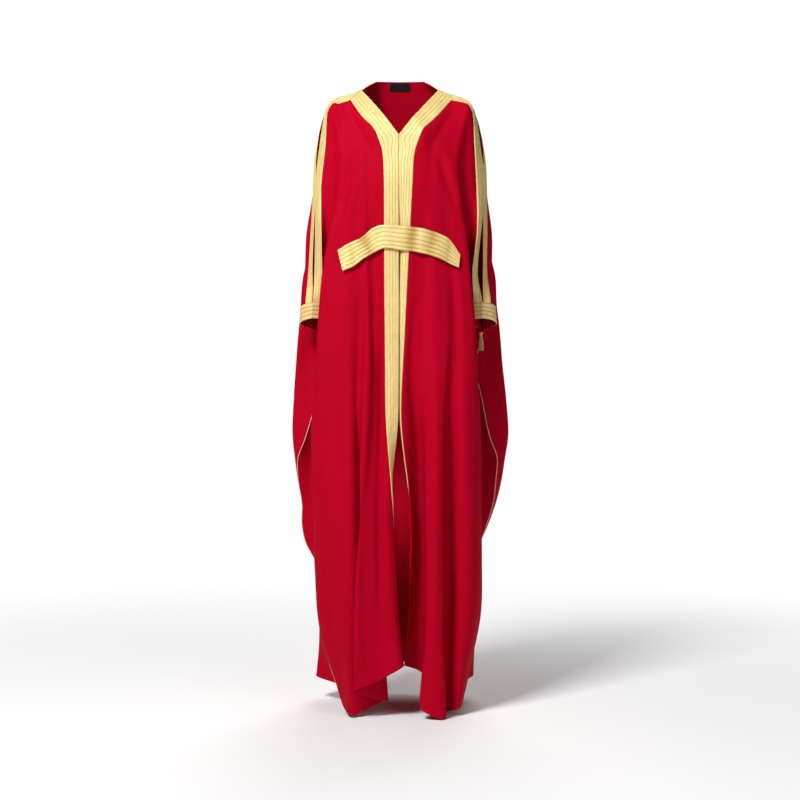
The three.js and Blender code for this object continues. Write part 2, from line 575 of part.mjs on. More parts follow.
for (const part of backs) {
  const { side, grid, panel, normals, turn } = part;
  const neck = upTo(backHalfCells, 4);
  const arm = upTo(backHalfCells, 9);
  const slit = upTo(backHalfCells, 10);
  const make = (range, sides) => braid(grid, panel, normals, turn, range, sides);
  add(`neck_braid_back_${side}`, 'gold_braid', make([0, 2, 0, neck], ['inside', 'outside']));
  add(`shoulder_braid_back_${side}`, 'gold_braid', make([0, 2, neck, arm], ['inside', 'outside']));
  add(`sleeve_braid_back_${side}`, 'gold_braid', make([0, cuffRow, arm, slit], ['inside', 'below']));
}

// ---- wrist braids: from the pit round the front and outside of the sleeve and back to the pit ----
function cuff(front, frontPanel, frontNormals, backHalf, backPanel, backPartNormals, isFlipped) {
  const frontColumns = front.rows[cuffRow].length - front.pit - 2;
  const rows = [];
  const normals = [];
  const bottomRow = 6 + upperRows.indexOf(cuffBottom);
  for (let r = cuffRow; r <= bottomRow; r += 1) {
    const row = [];
    for (let c = front.pit + 1; c < front.rows[r].length; c += 1) {
      row.push(front.rows[r][c]);
      normals.push(frontNormals[frontPanel.at(r, c)]);
    }
    for (let c = backHalf.rows[r].length - 1; c > backHalf.pit; c -= 1) {
      row.push(backHalf.rows[r][c]);
      normals.push(backPartNormals[backPanel.at(r, c)]);
    }
    rows.push(row);
  }
  const data = surface(rows, 0, rows.length - 1, 0, 1000, frontColumns);
  const ordered = [];
  let k = 0;
  for (let r = 0; r < rows.length; r += 1) {
    for (let c = 0; c < rows[r].length; c += 1) {
      ordered[data.at(r, c)] = normals[k];
      k += 1;
    }
  }
  return wall(isFlipped ? flipped(data) : data, ordered, braidNear, braidFar);
}
add('cuff_left', 'gold_braid',
  cuff(left, leftSurface, leftNormals, backLeft, backLeftSurface, backLeftNormals, false));
add('cuff_right', 'gold_braid',
  cuff(right, rightSurface, rightNormals, backRight, backRightSurface, backRightNormals, true));

// ---- belt: a curved strip over both fronts and the centre braids ----
const beltSlant = [13, 3];      // how much narrower the lower edge is at its two ends
const beltEnds = [
  { x: -143, top: 391, bottom: 440 },
  { x: -118, top: 376, bottom: 429 },
  { x: -90, top: 363, bottom: 410 },
  { x: -62, top: 341, bottom: 395 },
  { x: -40, top: 334, bottom: 388 },
  { x: 0, top: 336, bottom: 393 },
  { x: 56, top: 343, bottom: 401 },
  { x: 88, top: 353, bottom: 411 },
  { x: 118, top: 371, bottom: 424 },
  { x: 138, top: 401, bottom: 432 },
];
const beltStations = 34;
const beltCells = 3;
const beltBridging = 6;        // rounds of drawing the belt straight over hollows
const beltHeights = beltEnds.map((end) => vector([end.top, end.bottom]));
const beltLine = through(beltEnds.map((end) => end.x), beltHeights);

// The point of a front panel at a given x and height, with the way out of the cloth there.
function onFront(x, z) {
  const front = x < -2.5 ? fronts[1] : fronts[0];
  const { grid, panel, normals, cells } = front;
  const ridge = upTo(cells, cells.length - 5);
  for (let r = 0; r < grid.rows.length - 1; r += 1) {
    for (let c = 0; c < ridge; c += 1) {
      const a = grid.rows[r][c];
      const b = grid.rows[r][c + 1];
      const lowA = grid.rows[r + 1][c];
      const lowB = grid.rows[r + 1][c + 1];
      const down = (a.z - z) / (a.z - lowA.z);
      const startX = a.x + (lowA.x - a.x) * down;
      const endX = b.x + (lowB.x - b.x) * down;
      const across = (x - startX) / (endX - startX);
      if (down >= 0 && down < 1 && across >= -0.2 && across <= 1.0001) {
        const mix = (p, q, s, t) => p.clone().lerp(q, across).lerp(s.clone().lerp(t, across), down);
        const out = (row, column) => normals[panel.at(row, column)];
        const normal = mix(out(r, c), out(r, c + 1), out(r + 1, c), out(r + 1, c + 1)).normalize();
        return { point: mix(a, b, lowA, lowB), normal };
      }
    }
  }
  return null;
}

function belt() {
  const rows = [];
  for (let k = 0; k <= beltCells; k += 1) {
    const row = [];
    for (let i = 0; i <= beltStations; i += 1) {
      const down = k / beltCells;
      const start = beltEnds[0].x;
      const end = beltEnds[beltEnds.length - 1].x;
      const along = start + (end - start) * i / beltStations;
      const ends = beltLine(along);
      const share = i / beltStations;
      const x = along + down * (beltSlant[0] * (1 - share) - beltSlant[1] * share);
      const found = onFront(x, -(ends.x + (ends.y - ends.x) * down));
      row.push(found.point.addScaledVector(found.normal, braidFar + beltLift));
    }
    for (let turn = 0; turn < beltBridging; turn += 1) {
      for (let i = 1; i < row.length - 1; i += 1) {
        row[i].y = Math.min(row[i].y, (row[i - 1].y + row[i + 1].y) / 2);
      }
    }
    rows.push(row);
  }
  const data = surface(rows, 0, beltCells, 0, 1000);
  return wall(data, normalsOf(data), 0, braidThickness);
}
add('belt', 'gold_braid', belt());

// ---- piping in the side seams, from the wrist to the hem ----
// A closed tube with level rings, along a path that runs downwards.
function tube(path, radius, sides) {
  const data = meshData();
  for (const p of path) {
    for (let k = 0; k < sides; k += 1) {
      const angle = k * 2 * Math.PI / sides;
      const x = p.x + radius * Math.cos(angle);
      const y = p.y + radius * Math.sin(angle);
      data.points.push(new THREE.Vector3(x, y, p.z));
    }
  }
  for (let r = 0; r < path.length - 1; r += 1) {
    for (let k = 0; k < sides; k += 1) {
      const next = (k + 1) % sides;
      const a = r * sides + k;
      const b = r * sides + next;
      data.faces.push([a, a + sides, b + sides], [a, b + sides, b]);
    }
  }
  const last = (path.length - 1) * sides;
  for (let k = 1; k < sides - 1; k += 1) {
    data.faces.push([0, k, k + 1], [last, last + k + 1, last + k]);
  }
  return data;
}
add('side_piping_left', 'gold_piping', tube(left.seam, pipingRadius, 6));
add('side_piping_right', 'gold_piping', tube(right.seam, pipingRadius, 6));

// ---- neck label inside the back ----
const neckLabel = {
  heights: [0.08, 0.62],       // shares of the neck braid's width
  reach: 0.72,                 // share of the first cell beside the spine
  near: 0.6,                   // clear space between label and cloth
  far: 1.7,
};
function label() {
  const rows = backLeft.rows;
  const spineNormal = backLeftNormals[backLeftSurface.at(0, 0)];
  const sideNormal = backLeftNormals[backLeftSurface.at(0, 1)];
  const data = meshData();
  const ordered = [];
  const columns = [[-1, 1], [-1, 0.5], [-1, 0], [1, 0.5], [1, 1]];
  for (const height of neckLabel.heights) {
    for (const [side, share] of columns) {
      const inner = rows[0][0].clone().lerp(rows[2][0], height);
      const outer = rows[0][1].clone().lerp(rows[2][1], height);
      const point = inner.lerp(outer, share * neckLabel.reach);
      const normal = spineNormal.clone().lerp(sideNormal, share * neckLabel.reach);
      data.points.push(new THREE.Vector3(side * point.x, point.y, point.z));
      ordered.push(new THREE.Vector3(side * normal.x, normal.y, normal.z).normalize());
    }
  }
  for (let c = 0; c < columns.length - 1; c += 1) {
    data.faces.push([c, c + 6, c + 5], [c, c + 1, c + 6]);
  }
  return wall(data, ordered, -half - neckLabel.far, -half - neckLabel.near);
}
add('neck_label', 'black_label', label());

// ---- tassels: a head with strands fused to it ----
const wasm = await Module();
wasm.setup();
const { Manifold } = wasm;
const tassel = {
  headRadius: 4.6,
  headLength: 8,
  neckRadius: 3.2,
  skirtRadius: 7.4,
  skirtLength: 37,
  cordRadius: 1,
  strandRadius: 0.62,
  rings: [                     // strands in each ring, and its share of the skirt's radius
    { count: 1, reach: 0 },
    { count: 5, reach: 0.5 },
    { count: 10, reach: 1 },
  ],
};

// A closed geometry as a solid that can be joined to others.
function solidOf(geometry) {
  geometry.deleteAttribute('normal');
  geometry.deleteAttribute('uv');
  const merged = mergeVertices(geometry);
  const vertProperties = merged.getAttribute('position').array;
  const triVerts = Uint32Array.from(merged.index.array);
  return new Manifold(new wasm.Mesh({ numProp: 3, vertProperties, triVerts }));
}

function tasselHead() {
  const { neckRadius, headRadius, headLength } = tassel;
  const profile = [[0, 0], [neckRadius, 0], [neckRadius + 0.6, 2], [headRadius, 5],
    [headRadius * 0.4, headLength], [0, headLength]];
  const outline = profile.map(([radius, height]) => new THREE.Vector2(radius, height));
  return new THREE.LatheGeometry(outline, 10).rotateX(Math.PI / 2);
}

// The short cord from the head up to the seam.
function tasselCord(from, to) {
  const along = to.clone().sub(from);
  const upright = new THREE.Vector3(0, 1, 0);
  const turn = new THREE.Quaternion().setFromUnitVectors(upright, along.clone().normalize());
  const middle = from.clone().lerp(to, 0.5);
  return new THREE.CylinderGeometry(tassel.cordRadius, tassel.cordRadius, along.length(), 6)
    .applyQuaternion(turn).translate(middle.x, middle.y, middle.z);
}

// One strand, which starts inside the head and spreads as it falls.
function strand(angle, reach, length) {
  const root = 2.5 * reach;
  const tip = tassel.skirtRadius * reach;
  const rootHeight = 1.4;
  const path = [0, 0.5, 1].map((s) => {
    const radius = root + (tip - root) * s ** 0.7;
    const height = rootHeight - (length + rootHeight) * s;
    return new THREE.Vector3(Math.cos(angle) * radius, Math.sin(angle) * radius, height);
  });
  return geometryOf(tube(path, tassel.strandRadius, 4));
}

function tasselSolid(x, y, z, hook) {
  const top = new THREE.Vector3(0, 0, tassel.headLength - 1.5);
  const end = new THREE.Vector3(hook[0] - x, hook[1] - y, tassel.headLength - 1);
  let solid = solidOf(tasselHead()).add(solidOf(tasselCord(top, end)));
  for (const { count, reach } of tassel.rings) {
    for (let k = 0; k < count; k += 1) {
      const angle = (k + reach) * 2 * Math.PI / count;
      const length = tassel.skirtLength * (1 - 0.05 * ((k * 7) % 3));
      solid = solid.add(solidOf(strand(angle, reach, length)));
    }
  }
  const mesh = solid.translate([x, y, z]).getMesh();
  const points = [];
  for (let i = 0; i < mesh.numVert; i += 1) {
    points.push(vector(mesh.vertProperties.slice(i * mesh.numProp, i * mesh.numProp + 3)));
  }
  const faces = [];
  for (let i = 0; i < mesh.numTri; i += 1) faces.push([...mesh.triVerts.slice(i * 3, i * 3 + 3)]);
  return { points, faces };
}
add('tassel_left', 'gold_tassel', tasselSolid(196, 31, -582, [199.2, 44.8]));
add('tassel_right', 'gold_tassel', tasselSolid(-192, 31, -582, [-199.2, 44.8]));

export default group;
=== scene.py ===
import bpy
import numpy as np
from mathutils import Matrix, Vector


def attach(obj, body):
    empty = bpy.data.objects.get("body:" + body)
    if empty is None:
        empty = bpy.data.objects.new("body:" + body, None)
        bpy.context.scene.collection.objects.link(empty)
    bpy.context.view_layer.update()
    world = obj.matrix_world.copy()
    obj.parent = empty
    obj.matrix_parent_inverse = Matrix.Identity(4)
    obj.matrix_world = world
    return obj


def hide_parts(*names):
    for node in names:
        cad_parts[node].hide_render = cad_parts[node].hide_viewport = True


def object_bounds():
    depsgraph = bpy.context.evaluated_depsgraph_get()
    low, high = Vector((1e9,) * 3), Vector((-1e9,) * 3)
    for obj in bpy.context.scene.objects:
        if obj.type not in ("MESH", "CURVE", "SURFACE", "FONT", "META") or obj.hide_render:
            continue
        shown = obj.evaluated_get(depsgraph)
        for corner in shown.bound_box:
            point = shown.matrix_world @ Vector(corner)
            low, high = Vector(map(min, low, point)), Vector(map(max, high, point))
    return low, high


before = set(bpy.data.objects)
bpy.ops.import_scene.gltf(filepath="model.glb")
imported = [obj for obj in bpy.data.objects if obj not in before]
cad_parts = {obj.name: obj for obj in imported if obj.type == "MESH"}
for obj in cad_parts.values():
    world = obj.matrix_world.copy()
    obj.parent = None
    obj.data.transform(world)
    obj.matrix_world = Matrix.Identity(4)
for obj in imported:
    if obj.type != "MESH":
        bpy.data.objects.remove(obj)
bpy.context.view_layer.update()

# A long open-front kaftan as worn: red crepe panels with gold braid, piping and tassels.
# The tables are in millimetres in the CAD frame, and meshes are made in metres.
print("frame loaded,", len(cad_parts), "nodes")

# Camera, floor and light.
view = {
    "place": (0, -3.4, -0.739),       # at the height of the knees, looking level at the front
    "lens": 63.75,
    "sensor": 36,
    "floorDrop": 0.0015,              # the floor lies this far under the lowest hem
    "floorSize": 60,
    "white": 1.0,
    "ambient": 0.09,
    "fade": (0.35, 2.6),              # the floor fades to white between these distances
}
lamps = [
    {"name": "key", "place": (-1.5, -2.2, 1.95), "aim": (0, 0, -0.6), "size": 1.0, "power": 150},
    {"name": "fill", "place": (2.6, -3.0, 0.2), "aim": (0, 0, -0.8), "size": 2.4, "power": 24},
    {"name": "behind", "place": (0.6, 3.2, 1.4), "aim": (0, 0, -0.8), "size": 2.4, "power": 80},
    {"name": "within", "place": (0.01, -0.03, -1.0), "aim": (0.01, 0.4, -1.0), "size": 0.12, "power": 0.2},
]


def makeCamera():
    data = bpy.data.cameras.new("camera")
    data.lens = view["lens"]
    data.sensor_width = view["sensor"]
    camera = bpy.data.objects.new("camera", data)
    camera.location = view["place"]
    camera.rotation_euler = (np.pi / 2, 0, 0)
    bpy.context.scene.collection.objects.link(camera)
    bpy.context.scene.camera = camera


def makeLamps():
    for lamp in lamps:
        data = bpy.data.lights.new(lamp["name"], "AREA")
        data.size = lamp["size"]
        data.energy = lamp["power"]
        light = bpy.data.objects.new(lamp["name"], data)
        away = np.array(lamp["aim"]) - np.array(lamp["place"])
        flat = np.hypot(away[0], away[1])
        light.location = lamp["place"]
        light.rotation_euler = (np.arctan2(flat, -away[2]), 0, np.arctan2(-away[0], away[1]))
        bpy.context.scene.collection.objects.link(light)


makeCamera()
makeLamps()
bpy.context.scene.view_settings.view_transform = "Standard"
print("camera and lamps")

# The named lines of the cloth.
rowDepths = np.array([235, 285, 335, 388, 440, 474, 508, 545, 592, 640, 690, 740, 785, 830, 855, 880, 930,
                      960, 990, 1040, 1085, 1125, 1188, 1250, 1300, 1350, 1400, 1450.0])
rowNumbers = np.arange(len(rowDepths)) + 6.0   # rows 0 to 6 run from the neck or shoulder down to the bust
lastRow = rowNumbers[-1]
cuffRow, wristRow = 12, 13                     # top and bottom of the wrist braid
braidRows = 2                                  # the neck and shoulder braids lie on the first two rows
shape = {
    "hemFrom": 1250, "hemDepth": 1450,         # each line's own drop is let in between these
    "wristTilt": 24, "wristFront": -35, "wristBack": 48,
    "tiltFrom": 450, "tiltFull": 545, "tiltTo": 665,   # depths between which the wrist slopes
    "seamPull": 1.3, "pullFull": 592,          # how far each panel stops short of the side seam, and where
    "shoulderGap": 1.3, "shoulderAbove": -60, "shoulderBetween": (-5, 10),   # its top as z and y
    "chestDepth": 135, "chestBack": 106,
    "backRoundness": 2.6, "spineHem": -1393,
    "foldFrom": 300, "foldOver": 900, "rightFold": 0.7,   # depths over which the back's folds grow
}
foldDepths = (235, 590, 767, 968, 1450)        # bust, waist, apex, knee, hem
# Each fold line: top, trim, chest as x, y, z, then x, y at bust, waist, apex and knee, then hem as x, y, z.
frontLeftLines = {
    "edge": ((-2, -98, -119), (-2, -103, -157), (-2, -110, -190), (-2, -116), (-2, -102), (0, -104),
             (26, -94), (18, -67, -1362)),
    "bandMid": ((5, -96, -110), (19, -103, -152), (14, -110, -186), (13, -117), (-1, -118), (0, -121),
                (24, -110), (14, -84, -1360)),
    "band": ((13, -92, -99), (36, -101, -136), (32, -108, -178), (29, -116), (11, -127), (3, -137),
             (22, -126), (10, -100, -1358)),
    "valley": ((30, -82, -76), (56, -94, -104), (54, -102, -162), (50, -112), (32, -121), (24, -128),
               (35, -117), (36, -84, -1369)),
    "fluteSide": ((44, -67, -59), (70, -83, -90), (64, -97, -155), (60, -110), (50, -119), (44, -127),
                  (50, -124), (54, -105, -1378)),
    "fluteIn": ((57, -52, -42), (84, -72, -75), (74, -91, -148), (70, -108), (79, -127), (67, -141),
                (58, -160), (51, -185, -1445)),
    "fluteOut": ((92, 0, 4), (122, -22, -25), (94, -85, -138), (88, -104), (108, -119), (103, -143),
                 (101, -162), (99, -188, -1463)),
    "trough": ((108, 1.6, -2), (134, -21, -27), (108, -80, -135), (104, -99), (121, -109), (118, -122),
               (114, -134), (108, -132, -1457)),
    "swell": ((125, 3, -7), (145, -21, -29), (122, -75, -135), (121, -94), (142, -110), (148, -126),
              (148, -140), (131, -150, -1450)),
}
frontRightLines = {
    "edge": ((-3, -98, -119), (-3, -103, -157), (-3, -110, -190), (-3, -116), (-3, -124), (-4, -135),
             (-23, -115), (-9, -125, -1359)),
    "bandMid": ((-12, -95, -107), (-23, -103, -152), (-21, -110, -186), (-20, -117), (-20, -126), (-18, -138),
                (-20, -131), (0, -140, -1353)),
    "band": ((-21, -91, -94), (-42, -101, -136), (-39, -108, -178), (-37, -116), (-35, -125), (-33, -138),
             (-19, -147), (9, -155, -1348)),
    "flank": ((-36, -80, -73), (-61, -94, -105), (-58, -102, -162), (-56, -112), (-47, -114), (-44, -127),
              (-32, -155), (7, -170, -1348)),
    "valley": ((-61, -50, -38), (-87, -72, -75), (-76, -91, -148), (-72, -108), (-60, -113), (-58, -126),
               (-56, -153), (-50, -180, -1378)),
    "pleatTop": ((-92, 0, 4), (-118, -22, -24), (-94, -85, -138), (-88, -105), (-76, -125), (-83, -141),
                 (-90, -163), (-106, -190, -1400)),
    "pleatUnder": ((-103, 1, 0), (-126, -21, -27), (-101, -82, -136), (-95, -101), (-88, -118), (-92, -130),
                   (-60, -134), (-27, -125, -1434)),
    "pleatBack": ((-112, 2, -3), (-133, -21, -29), (-108, -80, -135), (-103, -98), (-98, -117), (-99, -125),
                  (-62, -121), (-29, -111, -1434)),
    "swell": ((-123, 3, -7), (-140, -21, -31), (-116, -77, -135), (-114, -95), (-118, -121), (-118, -134),
              (-119, -150), (-114, -168, -1457)),
    "flat": ((-132, 3.6, -10), (-146, -21, -33), (-126, -73, -135), (-125, -90), (-150, -112), (-154, -122),
             (-158, -132), (-131, -128, -1446)),
}
# Side lines at each depth as x, y.  Down to the wrist the sleeve is a part of the same panel.
upperNames = ("ridge", "trough", "pit", "inner", "arm", "slit", "slitBack", "armBack", "outer", "pitBack",
              "wing")
upperLeft = {
    235: ((137, -84), (154, -53), (161, -50), (169, -48), (181, -40), (204, -12), (197, 0), (209, 28),
          (210, 48), (202, 62), (186, 74)),
    335: ((151, -90), (166, -42), (170, -40), (174, -45), (182, -55), (192, -25), (197, -20), (209, 9),
          (222, 28), (217, 50), (205, 67)),
    440: ((161, -94), (144, -22), (159, 6), (170, -20), (171, -50), (184, -24), (197, -25), (209, 3),
          (222, 18), (220, 35), (232, 50)),
    508: ((166, -96), (142, 2), (188, 36), (172, 0), (175, -31), (195.5, -37), (197, -37), (217, -26),
          (228, 3), (203, 47), (236, 52)),
    545: ((169, -98), (140, 14), (198.5, 47.5), (174, 3), (176, -28), (196.5, -35), (198, -35), (218, -25),
          (231, 3), (201.7, 48.5), (241, 52)),
}
upperRight = {
    235: ((-136, -84), (-162, -58), (-168, -54), (-174, -50), (-186, -42), (-202, -14), (-201, 0), (-209, 28),
          (-210, 48), (-203, 62), (-187, 74)),
    335: ((-160, -90), (-172, -48), (-175, -45), (-178, -49), (-185, -57), (-201, -28), (-205, -18),
          (-214, 12), (-226, 30), (-220, 50), (-206, 67)),
    440: ((-179, -94), (-158, -22), (-173, 6), (-184, -21), (-184, -50), (-203, -26), (-208, -25), (-220, 3),
          (-230, 19), (-227, 36), (-236, 52)),
    508: ((-184, -96), (-155, 2), (-189, 36), (-180, 1), (-185, -30), (-206.5, -37), (-208, -37), (-225, -24),
          (-237, 3), (-205, 47), (-242, 52)),
    545: ((-186, -98), (-152, 14), (-198.5, 47.5), (-181, 3), (-187, -28), (-209.5, -35), (-211, -35),
          (-228, -22), (-239, 3), (-201.7, 48.5), (-245, 52)),
}
lowerNames = ("ridge", "trough", "seam", "wing")
lowerLeft = {
    592: ((171, -99), (150, 32), (194, 48), (245, 50)),
    640: ((174, -100), (160, 32), (184, 44), (248, 47)),
    740: ((177, -100), (182, 24), (198, 12), (258, 42)),
    830: ((180, -99), (189, 18), (216, -6), (262, 36)),
    880: ((181, -98), (193, 18), (233, -4), (254, 32)),
    930: ((183, -97), (194, 16), (230, 0), (246, 28)),
    990: ((185, -94), (194, 12), (223, 4), (231, 26)),
    1040: ((187, -90), (192, 2), (208, 8), (213, 26)),
    1085: ((188, -86), (191, -18), (193, 10), (194, 30)),
    1250: ((187, -75), (189, -28), (189, 12), (190, 44)),
    1340: ((172, -68), (177, -28), (179, 12), (181, 60)),
    1450: ((153, -62), (159, -30), (163, 5), (178, 64)),
}
lowerRight = {
    592: ((-188, -99), (-162, 38), (-196, 49), (-249, 50)),
    640: ((-189, -100), (-174, 36), (-194, 46), (-252, 47)),
    740: ((-196, -99), (-189, 28), (-204, 20), (-258, 42)),
    830: ((-199, -98), (-209, 18), (-227, -2), (-260, 36)),
    880: ((-198, -97), (-212, 18), (-245, 2), (-254, 30)),
    930: ((-198, -95), (-214, 16), (-245, 10), (-247, 34)),
    990: ((-197, -93), (-214, 12), (-236, 14), (-237, 38)),
    1040: ((-197, -90), (-212, 8), (-236, 14), (-237, 38)),
    1085: ((-197, -86), (-209, -2), (-226, 14), (-226, 36)),
    1125: ((-197, -82), (-202, -20), (-204, 12), (-206, 34)),
    1250: ((-191, -80), (-192, -28), (-193, 12), (-196, 44)),
    1340: ((-176, -88), (-181, -35), (-184, 10), (-196, 54)),
    1450: ((-148, -100), (-150, -50), (-154, 2), (-204, 56)),
}
# Over the shoulder: top, trim and chest as x, y, z on the left, with x turned round on the right.
shoulderLines = {
    "ridge": ((142, 4, -12), (155, -20, -31), (139, -70, -135)),
    "trough": ((153, 5, -16), (161, -20, -33), (159, -50, -135)),
    "pit": ((159, 5, -19), (164, -19, -36), (164, -47, -135)),
    "inner": ((165, 6, -24), (168, -18, -42), (169, -44, -135)),
    "arm": ((171, 6, -32), (173, -14, -53), (176, -37, -135)),
    "slit": ((178, 6, -44), (182, -1, -65), (192, -9, -135)),
    "wing": ((150, 5, -15), (158, 29, -35), (174, 78, -135)),
    "pitBack": ((159, 5, -19), (164, 27, -40), (188, 66, -135)),
    "outer": ((165, 6, -24), (168, 26, -46), (197, 54, -135)),
    "armBack": ((171, 6, -32), (173, 23, -55), (201, 34, -135)),
    "slitBack": ((178, 6, -44), (187, 12, -67), (199, 6, -135)),
}
sideHems = {"left": (-1427, -1415, -1410, -1409), "right": (-1401, -1410, -1419, -1410)}
# Back lines: share of the way to the wing line, top, trim, and how far the line stands proud as a fold.
backLines = {
    "spine": (0, (0, 72, 40), (0, 82, 5), 0),
    "nape": (0.17, (32, 71, 40), (38, 80, 4), 9),
    "blade": (0.35, (57, 60, 38), (72, 71, 0), -7),
    "gore": (0.52, (72, 40, 26), (99, 52, -10), 12),
    "collar": (0.68, (92, 0, 4), (121, 24, -26), -8),
    "drop": (0.84, (122, 3, -6), (140, 29, -29), 10),
}
spineDepths, spinePlaces = (235, 440, 640, 880, 1250, 1450), (112, 101, 104, 112, 128, 140)


# Curves.
def spread(start, end, count):
    return np.linspace(start, end, count + 1)


def eased(t):
    # Rises smoothly from 0 to 1 as t does.
    s = np.clip(t, 0, 1)
    return s * s * (3 - 2 * s)


def unit(v):
    # The same directions with a length of one.
    return v / np.maximum(np.linalg.norm(v, axis=-1, keepdims=True), 1e-9)


def lengthsAlong(path):
    # How far along a line of points each one lies.
    return np.concatenate([[0], np.cumsum(np.linalg.norm(np.diff(path, axis=0), axis=1))])


def placesOn(path, lengths, at):
    # What a line of points, or the ways out along it, has at some lengths.
    return np.stack([np.interp(at, lengths, path[:, k]) for k in range(3)], -1)


def hermite(points, slopes, spans, i, s):
    # Cubic from point i to point i + 1 with the slopes at both ends, at share s of the span.
    s = s[..., None]
    start, end = np.take(points, i, axis=-2), np.take(points, i + 1, axis=-2)
    leave, arrive = np.take(slopes, i, axis=-2), np.take(slopes, i + 1, axis=-2)
    span = np.take(spans, i, axis=-1)[..., None]
    return (start * (1 - 3 * s**2 + 2 * s**3) + end * (3 * s**2 - 2 * s**3)
            + leave * span * (s - 2 * s**2 + s**3) + arrive * span * (s**3 - s**2))


def slopesOf(spans, points):
    # Slopes from both neighbours, which fall away where the line turns back on itself.
    steps = np.diff(points, axis=-2)
    before, after = spans[..., :-1, None], spans[..., 1:, None]
    coming, going = steps[..., :-1, :], steps[..., 1:, :]
    softness = np.clip(1 + (unit(coming) * unit(going)).sum(-1, keepdims=True), 0, 1)
    inner = (coming * after / before + going * before / after) * softness / (before + after)
    ends = steps / spans[..., None]
    return np.concatenate([ends[..., :1, :], inner, ends[..., -1:, :]], axis=-2)


def through(knots, points, t):
    # A smooth line through points with a knot each, at the values t.
    knots, points, t = np.asarray(knots, float), np.asarray(points, float), np.asarray(t, float)
    spans = np.diff(knots)
    i = np.clip(np.searchsorted(knots, t, side="right") - 1, 0, len(knots) - 2)
    s = np.clip((t - knots[i]) / spans[i], 0, 1)
    return hermite(points, slopesOf(spans, points), spans, i, s)


def along(points, u):
    # A smooth line through each row of points, at u counted in points, with their distances as knots.
    spans = np.maximum(np.linalg.norm(np.diff(points, axis=-2), axis=-1), 0.01)
    i = np.minimum(u.astype(int), points.shape[-2] - 2)
    share = np.broadcast_to(u - i, points.shape[:-2] + u.shape)
    return hermite(points, slopesOf(spans, points), spans, i, share)


def straightAlong(points, u):
    # Straight pieces through each row of points, at u counted in points.
    i = np.minimum(u.astype(int), points.shape[-2] - 2)
    s = (u - i)[:, None]
    return np.take(points, i, axis=-2) * (1 - s) + np.take(points, i + 1, axis=-2) * s


# Panels.
def lineOf(head, path, hem, share):
    # One named line: its points over the shoulder, its x and y at any depth, the z of its hem, and
    # its share of the slope at the wrist.
    return {"head": np.array(head, float), "path": path, "hem": hem, "share": share}


def tablePath(name, upper, lower=None):
    # The x, y of one side line at any depth.
    depths, points = list(upper), [row[upperNames.index(name)] for row in upper.values()]
    if lower is not None:
        lowerName = "seam" if name in ("pit", "pitBack") else name
        depths += list(lower)
        points += [row[lowerNames.index(lowerName)] for row in lower.values()]
    return lambda depth: through(depths, points, depth)


def foldPath(fold):
    # The x, y of one fold line at any depth.
    points = [*fold[3:7], fold[7][:2]]
    return lambda depth: through(foldDepths, points, depth)


def frontPanel(side, folds, upper, lower, hems, collar, shift):
    # The lines of a front from its centre edge over its folds and down the side, then round the
    # sleeve.  collar is the line where the neck turns into the shoulder, and shift moves the centre edge.
    lines = [lineOf(fold[:3], foldPath(fold), fold[7][2], 0) for fold in folds.values()]
    turn = np.array([side, 1, 1])
    for k, (name, share) in enumerate((("ridge", 0), ("trough", 0.4), ("pit", 1))):
        lines.append(lineOf(turn * shoulderLines[name], tablePath(name, upper, lower), hems[k], share))
    pit = len(lines) - 1
    for name in ("inner", "arm", "slit"):
        lines.append(lineOf(turn * shoulderLines[name], tablePath(name, upper), -shape["hemDepth"], 1))
    return {"lines": lines, "pit": pit, "collar": collar, "turn": side,
            "seamShift": -shape["shoulderGap"] / 2, "edgeShift": shift}


def backHalf(side, upper, lower, hems):
    # The lines of half the back: from the spine each lies a share of the way to the wing, where it
    # curves forward with a power of that share and stands out as a fold below the waist.
    wing = tablePath("wing", upper, lower)
    places = [(0, y) for y in spinePlaces]

    def spine(depth):
        return through(spineDepths, places, depth)[:, 1]

    turn = np.array([side, 1, 1])
    chestWing = shoulderLines["wing"][2]
    lines = []
    for share, top, trim, fold in backLines.values():
        def path(depth, share=share, fold=fold):
            end = wing(depth)
            middle = spine(depth)
            stand = fold * eased((depth - shape["foldFrom"]) / shape["foldOver"])
            stand *= 1 if side > 0 else shape["rightFold"]
            y = middle + (end[:, 1] - middle) * share ** shape["backRoundness"] + stand
            return np.stack([end[:, 0] * share, y], -1)
        middle = shape["chestBack"]
        chest = (chestWing[0] * share, middle + (chestWing[1] - middle) * share ** shape["backRoundness"],
                 -shape["chestDepth"])
        hem = shape["spineHem"] + (hems[3] - shape["spineHem"]) * share
        lines.append(lineOf(turn * [top, trim, chest], path, hem, 0))
    lines.append(lineOf(turn * shoulderLines["wing"], wing, hems[3], 0.3))
    lines.append(lineOf(turn * shoulderLines["pitBack"], tablePath("pitBack", upper, lower), hems[2], 1))
    pit = len(lines) - 1
    for name in ("outer", "armBack", "slitBack"):
        lines.append(lineOf(turn * shoulderLines[name], tablePath(name, upper), -shape["hemDepth"], 1))
    return {"lines": lines, "pit": pit, "collar": 4, "turn": -side,
            "seamShift": shape["shoulderGap"] / 2, "edgeShift": 0}


def depthAt(v):
    # Depth under the shoulder of a row number.
    return np.interp(v, rowNumbers, rowDepths)


